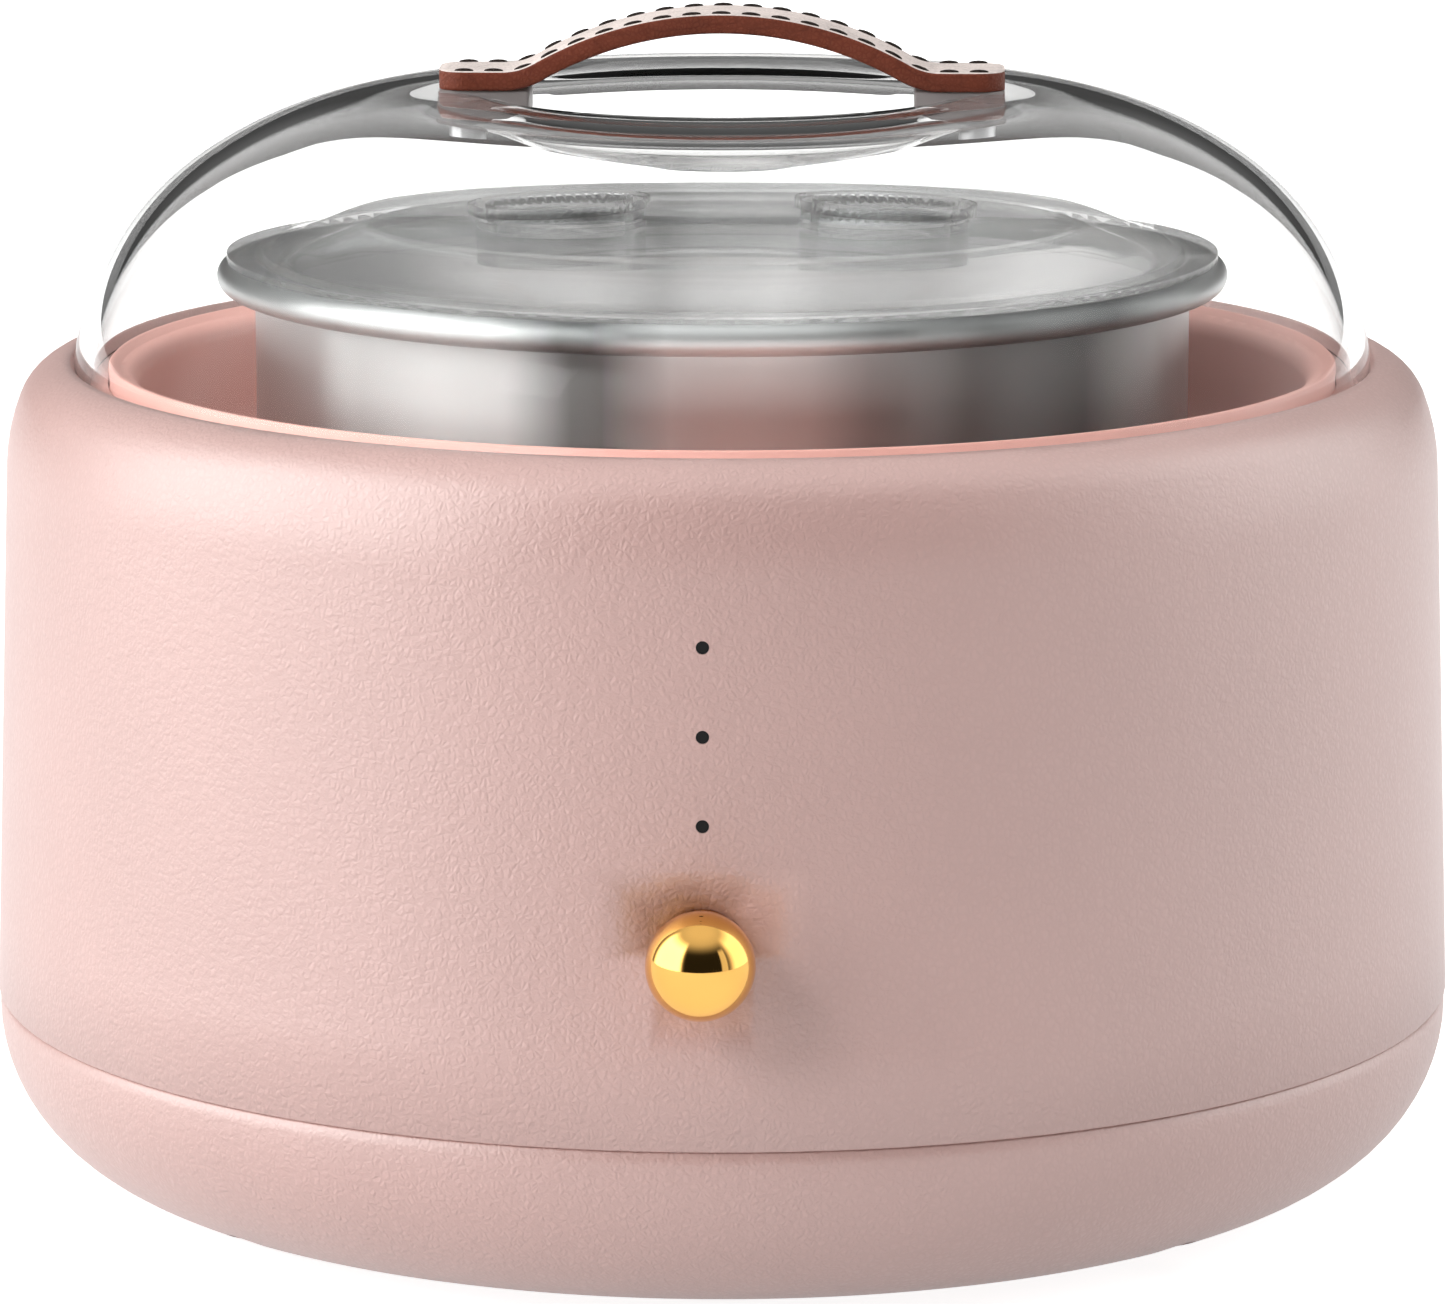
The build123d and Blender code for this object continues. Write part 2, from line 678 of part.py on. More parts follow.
with BuildPart() as heater_leads:
    for side, place in zip((1, -1), end_places):
        lead(1.1, 2.5,
             (place[0], place[1], leg_z - 3.5), (place[0], place[1], board_top_z + 4.5),
             (place[0], block_y, board_top_z + 4.5), (side * 9.0, block_y, board_top_z + 4.5))
save(heater_leads, "heater_leads")

with BuildPart() as sensor_lead:
    lead(0.9, 2.0,
         (sensor_x, 0, sensor_bottom_z), (sensor_x, 0, 28.5), (-61.0, 0, 28.5),
         (-61.0, 0, board_top_z + 2.5), (-33.5, 0, board_top_z + 2.5))
save(sensor_lead, "sensor_lead")

with BuildPart() as board_ribbon:
    with BuildLine(Plane.YZ) as ribbon_route:
        FilletPolyline(
            (board_y + board_thickness + 4.0, 41.0), (-69.0, 41.0),
            (-69.0, board_top_z + 2.5), (-24.5, board_top_z + 2.5), radius=3.0)
    with BuildSketch(Plane(origin=ribbon_route.line @ 0, x_dir=(1, 0, 0), z_dir=ribbon_route.line % 0)):
        Rectangle(8, 1.2)
    sweep(path=ribbon_route.line)
save(board_ribbon, "board_ribbon")

# ================================================================ wax pot
bead_place = pot_radius + bead_reach
with BuildPart() as wax_pot:
    with BuildSketch(Plane.XZ):
        with BuildLine():
            Line((0, pot_bottom_z), (pot_radius - pot_corner_radius, pot_bottom_z))
            CenterArc(
                (pot_radius - pot_corner_radius, pot_bottom_z + pot_corner_radius), pot_corner_radius, -90, 90)
            Line((pot_radius, pot_bottom_z + pot_corner_radius), (pot_radius, bead_z - 1.6))
            Polyline(
                (pot_radius, bead_z - 1.6),
                (pot_radius + 0.5, bead_z - 0.4),
                (pot_radius + 1.2, bead_z + 0.2),
                (bead_place, bead_z + 0.9),
                (bead_place, bead_z + bead_radius),
                (bead_place - 0.9, bead_z + bead_radius - 0.24),
                (pot_radius + 0.2, bead_z + 0.45),
                (pot_radius - pot_wall, bead_z - 1.4),
            )
            Line((pot_radius - pot_wall, bead_z - 1.4),
                 (pot_radius - pot_wall, pot_bottom_z + pot_corner_radius))
            CenterArc(
                (pot_radius - pot_corner_radius, pot_bottom_z + pot_corner_radius),
                pot_corner_radius - pot_wall, -90, 90)
            Polyline(
                (pot_radius - pot_corner_radius, pot_bottom_z + pot_wall),
                (0, pot_bottom_z + pot_wall), (0, pot_bottom_z))
        make_face()
        with Locations((bead_place, bead_z)):
            Circle(bead_radius)
            Circle(bead_radius - 0.8, mode=Mode.SUBTRACT)
    revolve(axis=Axis.Z)
save(wax_pot, "wax_pot")

# ================================================================ splash lid
with BuildPart() as splash_lid:
    turned(
        (0, plateau_z - lid_wall),
        (plateau_radius - 0.8, plateau_z - lid_wall),
        (pot_radius - 2.8, lid_z - 0.3),
        (pot_radius - 2.8, lid_z - 4.0),
        (pot_radius - 1.3, lid_z - 4.0),
        (pot_radius - 1.3, lid_z),
        (lid_radius, lid_z),
        (lid_radius, lid_z + 0.9),
        (pot_radius - 0.9, lid_z + 1.45),
        (plateau_radius + 1.0, plateau_z - 0.15),
        (plateau_radius - 0.6, plateau_z),
        (0, plateau_z),
    )
    for side in (-1, 1):
        top = Plane(
            origin=(side * spout_place, 0, spout_top_z),
            x_dir=(cos(radians(spout_tilt)), 0, -side * sin(radians(spout_tilt))),
            z_dir=(side * sin(radians(spout_tilt)), 0, cos(radians(spout_tilt))),
        )
        with BuildSketch(top):
            Circle(spout_outer_radius)
        extrude(amount=-7.5)
        with BuildSketch(top):
            Circle(spout_lip_radius)
        extrude(amount=-1.3)
        with BuildSketch(top.offset(0.5)):
            Circle(spout_inner_radius)
        extrude(amount=-9, mode=Mode.SUBTRACT)
save(splash_lid, "splash_lid")

# ================================================================ dome cover
dish_edge = (
    dish_floor_reach,
    dish_bottom_z + dish_floor_radius - sqrt(dish_floor_radius ** 2 - dish_floor_reach ** 2),
)
under_radius = dish_floor_radius + dish_wall
under_reach = dish_floor_reach + 0.5
dish_under_edge = (
    under_reach,
    dish_bottom_z - dish_wall + under_radius - sqrt(under_radius ** 2 - under_reach ** 2),
)
block_bottom_z = strap_under_z - block_height
block_centre_x = strap_half_length - block_length / 2
with BuildPart() as dome_cover:
    with BuildSketch(Plane.XZ):
        with BuildLine():
            side_arc = CenterArc(cover_side_centre, cover_side_radius, cover_lean, cover_side_sweep)
            top_arc = CenterArc(cover_top_centre, cover_top_radius, cover_join, 90 - cover_join)
            Polyline((0, cover_foot_z), (cover_foot_radius, cover_foot_z), side_arc @ 0)
            dish_floor_arc = CenterArc(
                (0, dish_bottom_z + dish_floor_radius), dish_floor_radius, -90,
                degrees(asin(dish_floor_reach / dish_floor_radius)))
            dish_side = TangentArc(
                dish_edge, (dish_radius - 0.6, cover_top_z - 1.35), tangent=dish_floor_arc % 1)
            dish_rim = TangentArc(
                dish_side @ 1, (dish_radius + 2.4, cover_top_z - 0.2), tangent=dish_side % 1)
            Line(dish_rim @ 1, top_arc @ 1)
            Line((0, dish_bottom_z), (0, cover_foot_z))
        make_face()
    revolve(axis=Axis.Z)
    with BuildSketch(Plane.XZ):
        with BuildLine():
            inner_side = CenterArc(
                cover_side_centre, cover_side_radius - cover_wall, cover_lean, cover_side_sweep)
            inner_top = CenterArc(
                cover_top_centre, cover_top_radius - cover_wall, cover_join, 90 - cover_join)
            Polyline(
                (0, cover_foot_z - 1), (cover_foot_radius - cover_wall, cover_foot_z - 1),
                (cover_foot_radius - cover_wall, cover_foot_z), inner_side @ 0)
            under_floor = CenterArc(
                (0, dish_bottom_z - dish_wall + under_radius), under_radius, -90,
                degrees(asin(under_reach / under_radius)))
            under_side = TangentArc(
                dish_under_edge, (dish_radius + 0.4, cover_top_z - 3.45), tangent=under_floor % 1)
            Polyline(
                under_side @ 1, (dish_radius + 4.0, cover_top_z - cover_wall - 0.1), inner_top @ 1)
            Line((0, dish_bottom_z - dish_wall), (0, cover_foot_z - 1))
        make_face()
    revolve(axis=Axis.Z, mode=Mode.SUBTRACT)
    # openings that take the blocks under the strap
    with Locations((-block_centre_x, 0, block_bottom_z + 2.0), (block_centre_x, 0, block_bottom_z + 2.0)):
        Box(block_length, block_width, 4.0, mode=Mode.SUBTRACT)
save(dome_cover, "dome_cover")

with BuildPart() as strap_blocks:
    with Locations((-block_centre_x, 0, block_bottom_z + block_height / 2),
                   (block_centre_x, 0, block_bottom_z + block_height / 2)):
        Box(block_length, block_width, block_height)
    with Locations((-strap_screw_x, 0, 0), (strap_screw_x, 0, 0)):
        disc(1.6, block_bottom_z, strap_under_z, Mode.SUBTRACT)
save(strap_blocks, "strap_blocks")

# ================================================================ strap handle
strap_bend = degrees(2 * asin(strap_rise / sqrt(strap_rise ** 2 + strap_run ** 2)))
strap_foot_radius = strap_run / sin(radians(strap_bend)) - strap_crown_radius


def strap_layer(low, high, half_width, half_length):
    """One layer of the arched strap, between two heights above its underside."""
    crown_z = strap_under_z + strap_rise - strap_crown_radius
    foot_z = strap_under_z + strap_foot_radius
    with BuildSketch(Plane.XZ) as profile:
        with BuildLine():
            lower_crown = CenterArc((0, crown_z), strap_crown_radius + low, 90, -strap_bend)
            lower_foot = CenterArc(
                (strap_run, foot_z), strap_foot_radius - low, 270 - strap_bend, strap_bend)
            upper_crown = CenterArc((0, crown_z), strap_crown_radius + high, 90, -strap_bend)
            upper_foot = CenterArc(
                (strap_run, foot_z), strap_foot_radius - high, 270 - strap_bend, strap_bend)
            Polyline(
                lower_foot @ 1, (half_length, strap_under_z + low),
                (half_length, strap_under_z + high), upper_foot @ 1)
            Line(lower_crown @ 0, upper_crown @ 0)
        make_face()
        mirror(about=Plane.YZ)
    extrude(profile.sketch, amount=half_width, both=True)


core_low = (strap_thickness - strap_core_thickness) / 2
core_high = core_low + strap_core_thickness
with BuildPart() as strap_core:
    strap_layer(core_low, core_high, strap_core_width / 2, strap_half_length - 1.8)
    with Locations((-strap_screw_x, 0, 0), (strap_screw_x, 0, 0)):
        disc(1.5, strap_under_z, strap_under_z + strap_thickness, Mode.SUBTRACT)
save(strap_core, "strap_core")

with BuildPart() as strap_lining:
    strap_layer(0, strap_thickness / 2, strap_width / 2, strap_half_length)
    add(strap_core.part, mode=Mode.SUBTRACT)
    with Locations((-strap_screw_x, 0, 0), (strap_screw_x, 0, 0)):
        disc(1.6, strap_under_z, strap_under_z + strap_thickness, Mode.SUBTRACT)
save(strap_lining, "strap_lining")

with BuildPart() as strap_leather:
    strap_layer(strap_thickness / 2, strap_thickness, strap_width / 2, strap_half_length)
    add(strap_core.part, mode=Mode.SUBTRACT)
    with Locations((-strap_screw_x, 0, 0), (strap_screw_x, 0, 0)):
        disc(1.5, strap_under_z, strap_under_z + core_high, Mode.SUBTRACT)
save(strap_leather, "strap_leather")

with BuildPart() as strap_screws:
    with Locations((-strap_screw_x, 0, 0), (strap_screw_x, 0, 0)):
        disc(2.3, block_bottom_z - 1.8, block_bottom_z)
        disc(1.5, block_bottom_z, strap_under_z + core_high)
        cross_slot(3.2, block_bottom_z - 1.8, 0.9)
save(strap_screws, "strap_screws")
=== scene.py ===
"""Wax warmer pot: the looks of a heated casing with a metal pot, a splash lid and a clear cover."""
import json
import math

import bmesh
import bpy
from bpy.props import FloatProperty, FloatVectorProperty, IntProperty, PointerProperty
from mathutils import Matrix, Vector


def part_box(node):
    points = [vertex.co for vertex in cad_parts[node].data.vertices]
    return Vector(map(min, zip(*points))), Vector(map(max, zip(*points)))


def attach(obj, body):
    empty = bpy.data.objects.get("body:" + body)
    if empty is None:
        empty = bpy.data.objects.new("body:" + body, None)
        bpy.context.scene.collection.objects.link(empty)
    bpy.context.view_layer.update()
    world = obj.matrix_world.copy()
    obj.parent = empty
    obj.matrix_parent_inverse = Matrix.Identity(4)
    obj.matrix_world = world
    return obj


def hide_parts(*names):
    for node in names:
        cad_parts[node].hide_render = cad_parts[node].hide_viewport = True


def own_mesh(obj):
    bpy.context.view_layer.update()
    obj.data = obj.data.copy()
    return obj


bl_info = {
    "name": "Wax Warmer Pot",
    "version": (1, 0, 0),
    "blender": (4, 5, 0),
    "location": "View3D > Sidebar > Wax Warmer",
    "description": "Builds the finished look of a wax warmer pot around its CAD frame",
    "category": "Object",
}

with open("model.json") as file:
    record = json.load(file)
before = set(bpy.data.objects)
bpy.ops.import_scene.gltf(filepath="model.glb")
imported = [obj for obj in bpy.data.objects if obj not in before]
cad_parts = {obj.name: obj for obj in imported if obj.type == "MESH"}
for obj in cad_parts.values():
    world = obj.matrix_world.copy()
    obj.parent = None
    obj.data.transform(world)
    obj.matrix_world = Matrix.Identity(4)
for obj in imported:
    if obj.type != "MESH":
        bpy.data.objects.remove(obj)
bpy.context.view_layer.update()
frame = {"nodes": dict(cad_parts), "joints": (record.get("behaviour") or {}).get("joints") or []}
NODES = frame["nodes"]
MM = 0.001
MAKERS = {}
MADE = {}


# ------------------------------------------------------------------ shader writing
class Value:
    """A shader socket that can be used in plain arithmetic."""

    def __init__(self, finish, socket):
        self.finish = finish
        self.socket = socket

    def maths(self, operation, *others):
        inputs = dict(enumerate((self,) + others))
        return self.finish.node("ShaderNodeMath", {"operation": operation}, inputs)

    def __add__(self, other):
        return self.maths("ADD", other)

    def __radd__(self, other):
        return self.maths("ADD", other)

    def __sub__(self, other):
        return self.maths("SUBTRACT", other)

    def __rsub__(self, other):
        inputs = {0: other, 1: self}
        return self.finish.node("ShaderNodeMath", {"operation": "SUBTRACT"}, inputs)

    def __mul__(self, other):
        return self.maths("MULTIPLY", other)

    def __rmul__(self, other):
        return self.maths("MULTIPLY", other)

    def __truediv__(self, other):
        return self.maths("DIVIDE", other)

    def __pow__(self, other):
        return self.maths("POWER", other)

    def between(self, low, high):
        """0 below low, 1 above high, smooth in the middle."""
        settings = {"interpolation_type": "SMOOTHSTEP", "clamp": True}
        inputs = {"Value": self, "From Min": low, "From Max": high}
        return self.finish.node("ShaderNodeMapRange", settings, inputs)

    def band(self, low, high, soft):
        """1 from low to high, falling to 0 over soft at either side."""
        return self.between(low - soft, low) * (1 - self.between(high, high + soft))


class Nodes:
    """Writes the nodes of one shader tree."""

    def __init__(self, owner):
        owner.use_nodes = True
        self.tree = owner.node_tree
        self.tree.nodes.clear()

    def node(self, kind, settings=None, inputs=None, output=0):
        """A node of that kind: its settings first, then the values or links of its sockets."""
        made = self.tree.nodes.new(kind)
        for key, value in (settings or {}).items():
            if key == "stops":
                ramp = made.color_ramp
                while len(ramp.elements) < len(value):
                    ramp.elements.new(0.5)
                for element, (place, colour) in zip(ramp.elements, value):
                    element.position = place
                    element.color = colour if len(colour) == 4 else (*colour, 1.0)
            else:
                setattr(made, key, value)
        for key, value in (inputs or {}).items():
            self.set(made.inputs[key], value)
        return Value(self, made.outputs[output])

    def set(self, socket, value):
        if isinstance(value, Value):
            self.tree.links.new(value.socket, socket)
        else:
            socket.default_value = value


class Finish(Nodes):
    """A material under construction, with one Principled shader."""

    def __init__(self, name, colour=(0.8, 0.8, 0.8), **sockets):
        self.material = bpy.data.materials.new(name)
        super().__init__(self.material)
        self.output = self.tree.nodes.new("ShaderNodeOutputMaterial")
        self.shader = self.tree.nodes.new("ShaderNodeBsdfPrincipled")
        self.tree.links.new(self.shader.outputs[0], self.output.inputs["Surface"])
        self.put("Base Color", (*colour, 1.0))
        for key, value in sockets.items():
            self.put(key.replace("_", " ").title().replace("Ior", "IOR"), value)

    def put(self, key, value):
        self.set(self.shader.inputs[key], value)

    def place(self, scale=(1, 1, 1)):
        """Object coordinates in metres, stretched by scale."""
        coords = self.node("ShaderNodeTexCoord", output=3)
        return self.node("ShaderNodeVectorMath", {"operation": "MULTIPLY"}, {0: coords, 1: scale})

    def noise(self, size_mm, detail=3.0, rough=0.5, stretch=(1, 1, 1)):
        inputs = {
            "Vector": self.place(stretch), "Scale": 1000.0 / size_mm,
            "Detail": detail, "Roughness": rough,
        }
        return self.node("ShaderNodeTexNoise", {"noise_dimensions": "3D"}, inputs)

    def cells(self, size_mm, feature="DISTANCE_TO_EDGE", warp=0.0, stretch=(1, 1, 1)):
        """Cell pattern; the distance to the nearest edge is about 0 to 0.5."""
        where = self.place(stretch)
        if warp:
            drift = self.node("ShaderNodeTexNoise", None, {
                "Vector": where, "Scale": 400.0 / size_mm, "Detail": 2.0}, output=1)
            where = self.node("ShaderNodeVectorMath", {"operation": "MULTIPLY_ADD"}, {
                0: drift, 1: (warp * MM,) * 3, 2: where})
        return self.node("ShaderNodeTexVoronoi", {"feature": feature}, {
            "Vector": where, "Scale": 1000.0 / size_mm})

    def blend(self, mask, first, second):
        """Colour between first and second."""
        made = self.tree.nodes.new("ShaderNodeMix")
        made.data_type = "RGBA"
        self.set(made.inputs[0], mask)
        for socket, colour in ((made.inputs[6], first), (made.inputs[7], second)):
            self.set(socket, colour if isinstance(colour, Value) else (*colour, 1.0))
        return Value(self, made.outputs[2])

    def bump(self, height, depth_mm, strength=1.0, under=None):
        inputs = {"Height": height, "Distance": depth_mm * MM, "Strength": strength}
        if under is not None:
            inputs["Normal"] = under
        normal = self.node("ShaderNodeBump", None, inputs)
        self.put("Normal", normal)
        return normal

    def let_light_through(self, tint=(1, 1, 1)):
        """Lamps light what is behind the clear wall."""
        path = self.node("ShaderNodeLightPath", output=1)
        open_side = self.node("ShaderNodeBsdfTransparent", None, {"Color": (*tint, 1.0)})
        mix = self.tree.nodes.new("ShaderNodeMixShader")
        self.set(mix.inputs[0], path)
        self.tree.links.new(self.shader.outputs[0], mix.inputs[1])
        self.tree.links.new(open_side.socket, mix.inputs[2])
        self.tree.links.new(mix.outputs[0], self.output.inputs["Surface"])


def tinted(colour, factor):
    return tuple(min(1.0, c * factor) for c in colour)


def finish_maker(name):
    """Registers a function that makes the material of that name, once."""
    def keep(function):
        def make():
            if name not in MADE:
                MADE[name] = function(name).material
            return MADE[name]
        MAKERS[name] = make
        return make
    return keep


# ------------------------------------------------------------------ finishes
@finish_maker("casing_leather_grain")
def casing_leather_grain(name):
    look = bpy.context.scene.warmer_casing
    colour = tuple(look.skin_colour)
    skin = Finish(name, colour, roughness=0.42, ior=1.46)
    pebble = skin.cells(look.grain_size, warp=0.7, stretch=(1.0, 1.0, 0.85)).between(0.0, 0.35)
    fold = skin.noise(look.grain_size * 1.5, detail=3.0, rough=0.6, stretch=(0.8, 0.8, 1.25))
    fine = skin.noise(0.3, detail=2.0)
    cloud = skin.noise(34.0, detail=3.0).between(0.3, 0.7)
    skin.bump(pebble * 0.55 + fold.between(0.3, 0.7) * 0.8 + fine * 0.15, look.grain_depth)
    shade = (1 - pebble) * 0.07 + (1 - fold) * 0.08 + cloud * 0.09
    skin.put("Base Color", skin.blend(shade, tinted(colour, 1.03), tinted(colour, 0.55)))
    skin.put("Roughness", 0.38 + (1 - pebble) * 0.10 + fold * 0.08)
    skin.put("Specular IOR Level", 0.9)
    skin.put("Coat Weight", 1.0)
    skin.put("Coat Roughness", 0.42)
    skin.put("Coat IOR", 1.8)
    return skin


@finish_maker("bezel_smooth")
def bezel_smooth(name):
    colour = tuple(bpy.context.scene.warmer_casing.bezel_colour)
    skin = Finish(name, colour, roughness=0.34, ior=1.48)
    cloud = skin.noise(26.0, detail=3.0)
    peel = skin.noise(1.6, detail=2.0)
    skin.put("Base Color", skin.blend(cloud.between(0.3, 0.7) * 0.22, colour, tinted(colour, 0.8)))
    skin.put("Roughness", 0.30 + peel * 0.12)
    skin.bump(peel, 0.02, 0.6)
    return skin


def moulded(name, colour, roughness=0.5, grain=0.5, depth=0.03):
    """Moulded plastic with a fine spark-eroded grain."""
    look = Finish(name, colour, roughness=roughness)
    grain_height = look.noise(grain, detail=2.0)
    cloud = look.noise(12.0)
    look.put("Base Color", look.blend(cloud.between(0.3, 0.75) * 0.35, colour, tinted(colour, 0.8)))
    look.put("Roughness", roughness - 0.06 + grain_height * 0.14)
    look.bump(grain_height, depth, 0.7)
    return look


def metal(name, colour, roughness=0.3, stretch=(1, 1, 1), size=0.4, depth=0.01):
    """Metal with fine tool marks, drawn out along the axis with the smallest stretch."""
    look = Finish(name, colour, metallic=1.0, roughness=roughness)
    marks = look.noise(size, detail=3.0, rough=0.6, stretch=stretch)
    smudge = look.noise(9.0, detail=2.0)
    look.put("Base Color", look.blend(smudge.between(0.35, 0.8) * 0.3, colour, tinted(colour, 0.82)))
    look.put("Roughness", roughness - 0.07 + marks * 0.10 + smudge * 0.06)
    look.bump(marks, depth, 0.5)
    return look


def clear(name, colour, roughness=0.0, ior=1.49, haze=0.02, body=1.0):
    """Clear plastic that lets lamp light through; a body below 1 thins it to a film."""
    look = Finish(name, colour, roughness=roughness, ior=ior)
    look.put("Transmission Weight", 1.0)
    wave = look.noise(46.0, detail=1.0)
    look.put("Roughness", roughness + wave * haze)
    look.put("Alpha", body)
    look.let_light_through(tuple(c ** 0.5 for c in colour))
    return look


@finish_maker("cover_acrylic")
def cover_acrylic(name):
    return clear(name, tuple(bpy.context.scene.warmer_cover.cover_colour), ior=1.10, haze=0.01)


@finish_maker("lid_plastic")
def lid_plastic(name):
    colour = tuple(bpy.context.scene.warmer_cover.lid_colour)
    return clear(name, colour, roughness=0.01, ior=1.14, body=0.58)


@finish_maker("block_acrylic")
def block_acrylic(name):
    look = clear(name, (0.30, 0.27, 0.265), roughness=0.3, ior=1.3, haze=0.10)
    look.put("Transmission Weight", 0.25)
    return look


# painted reflections: upright bands of light and shade painted into the steel's colour; place across the pot
# from left to right, and share of full brightness
OUTSIDE_PAINTED_LIGHT = (
    (0.0, 0.66), (0.07, 0.70), (0.14, 0.56), (0.22, 0.64), (0.29, 0.58), (0.36, 0.20), (0.39, 0.24),
    (0.46, 1.0), (0.55, 1.0), (0.60, 0.88), (0.66, 0.50), (0.76, 0.22), (0.88, 0.10), (0.94, 0.26),
    (1.0, 0.62))
# painted reflections inside the pot, painted the same way into its colour
INSIDE_PAINTED_LIGHT = (
    (0.0, 0.30), (0.12, 0.45), (0.22, 0.95), (0.33, 1.0), (0.42, 0.62), (0.46, 0.85), (0.55, 1.0),
    (0.62, 0.70), (0.72, 0.62), (0.84, 1.0), (0.92, 0.75), (1.0, 0.40))
INSIDE_COLOUR = (0.97, 0.965, 0.96)


def brushed(name, inside):
    """Stainless sheet brushed round the axis, with upright bands of painted reflection in its colour that
    stand in for the bands of light that brushing gives.
    """
    colour = INSIDE_COLOUR if inside else tuple(bpy.context.scene.warmer_pot.steel_colour)
    look = Finish(name, colour, metallic=0.1 if inside else 1.0, roughness=0.36)
    look.put("Anisotropic", 0.5 if inside else 0.92)
    look.put("Anisotropic Rotation", 0.25)
    split = look.node("ShaderNodeSeparateXYZ", None, {0: look.place()})
    x, y = (Value(look, split.socket.node.outputs[i]) for i in range(2))
    across = x / ((x * x + y * y + 1e-8) ** 0.5) * 0.5 + 0.5
    stops = INSIDE_PAINTED_LIGHT if inside else OUTSIDE_PAINTED_LIGHT
    greys = [(place, (level,) * 3) for place, level in stops]
    # painted reflections: the ramp turns place across the pot into light and dark upright bands
    bands = look.node("ShaderNodeValToRGB", {"stops": greys}, {0: across})
    rings = look.noise(0.45, detail=3.0, rough=0.6, stretch=(0.03, 0.03, 1))
    smudge = look.noise(22.0, detail=3.0)
    worn = look.blend(smudge.between(0.35, 0.8) * 0.15, colour, tinted(colour, 0.86))
    # the painted reflection bands multiply the base colour
    look.put("Base Color", look.node("ShaderNodeVectorMath", {"operation": "MULTIPLY"}, {0: worn, 1: bands}))
    look.put("Roughness", 0.32 + rings * 0.08 + smudge * 0.04)
    look.bump(rings, 0.008, 0.5)
    return look


@finish_maker("pot_steel")
def pot_steel(name):
    return brushed("pot_outside", False)


@finish_maker("pot_inside")
def pot_inside(name):
    return brushed("pot_inside", True)


@finish_maker("gold_plate")
def gold_plate(name):
    colour = tuple(bpy.context.scene.warmer_casing.button_colour)
    look = Finish(name, colour, metallic=1.0, roughness=0.07)
    smudge = look.noise(5.0, detail=3.0)
    wipe = look.noise(0.25, detail=2.0, stretch=(0.2, 1, 1))
    look.put("Base Color", look.blend(smudge.between(0.4, 0.8) * 0.2, colour, tinted(colour, 0.8)))
    look.put("Roughness", 0.03 + smudge * 0.04 + wipe * 0.02)
    look.bump(wipe, 0.002, 0.2)
    return look


def leather(name, colour, pore=0.55):
    """Vegetable-tanned leather: pores, fine creases and darker rubbed patches."""
    look = Finish(name, colour, roughness=0.5, ior=1.35)
    pores = look.cells(pore, warp=0.3).between(0.02, 0.28)
    crease = look.cells(2.6, warp=1.4, stretch=(0.5, 1, 1)).between(0.0, 0.07)
    fibre = look.noise(0.25, detail=3.0)
    patch = look.noise(9.0, detail=3.0)
    dark = (1 - pores) * 0.30 + (1 - crease) * 0.22 + patch.between(0.35, 0.75) * 0.28
    look.put("Base Color", look.blend(dark, colour, tinted(colour, 0.5)))
    look.put("Roughness", 0.46 + (1 - pores) * 0.16 + fibre * 0.10)
    look.bump(pores * 0.7 + crease * 0.5 + fibre * 0.2, 0.06, 0.7)
    return look


@finish_maker("strap_side_leather")
def strap_side_leather(name):
    return leather(name, tuple(bpy.context.scene.warmer_strap.leather_colour))


# painted sheen: the upper face is coloured pale cream to stand in for the glare of light grazing the top of
# the brown strap
@finish_maker("strap_top_leather")
def strap_top_leather(name):
    return leather(name, tuple(bpy.context.scene.warmer_strap.top_sheen_colour))


@finish_maker("strap_end_leather")
def strap_end_leather(name):
    return leather(name, tuple(bpy.context.scene.warmer_strap.end_colour), 0.3)


@finish_maker("stitch_thread")
def stitch_thread(name):
    look = Finish(name, (0.02, 0.012, 0.01), roughness=0.8, ior=1.3)
    twist = look.node("ShaderNodeTexWave", {"bands_direction": "DIAGONAL"}, {
        "Vector": look.place(), "Scale": 900.0, "Distortion": 0.5})
    look.put("Base Color", look.blend(twist, (0.01, 0.007, 0.006), (0.03, 0.02, 0.016)))
    look.bump(twist, 0.05, 0.8)
    return look


@finish_maker("foot_rubber")
def foot_rubber(name):
    return moulded(name, (0.03, 0.03, 0.03), 0.8, 0.3, 0.04)


@finish_maker("light_window")
def light_window(name):
    look = Finish(name, (0.003, 0.003, 0.0035), roughness=0.5, ior=1.35)
    dust = look.noise(0.2, detail=2.0)
    look.put("Roughness", 0.45 + dust * 0.15)
    look.bump(dust, 0.003, 0.3)
    return look


@finish_maker("seal_silicone")
def seal_silicone(name):
    return moulded(name, (0.48, 0.12, 0.07), 0.6, 0.4, 0.02)


@finish_maker("screw_zinc")
def screw_zinc(name):
    return metal(name, (0.60, 0.60, 0.61), 0.32, size=0.25)


@finish_maker("well_spun")
def well_spun(name):
    return metal(name, (0.78, 0.79, 0.80), 0.34, stretch=(0.04, 0.04, 1), size=0.5)


@finish_maker("plate_cast")
def plate_cast(name):
    return metal(name, (0.60, 0.61, 0.62), 0.5, size=0.8, depth=0.05)


@finish_maker("heater_tube")
def heater_tube(name):
    return metal(name, (0.30, 0.27, 0.24), 0.45, size=0.6, depth=0.02)


@finish_maker("shield_rolled")
def shield_rolled(name):
    return metal(name, (0.82, 0.83, 0.84), 0.22, stretch=(0.03, 1, 1), size=0.4)


@finish_maker("brass_plain")
def brass_plain(name):
    return metal(name, (0.78, 0.58, 0.26), 0.28, size=0.3)


@finish_maker("spring_wire")
def spring_wire(name):
    return metal(name, (0.52, 0.52, 0.52), 0.3, size=0.2)


@finish_maker("cutout_bakelite")
def cutout_bakelite(name):
    return moulded(name, (0.05, 0.03, 0.02), 0.45, 0.6)


@finish_maker("sensor_bead")
def sensor_bead(name):
    return moulded(name, (0.66, 0.62, 0.50), 0.2, 1.2, 0.01)


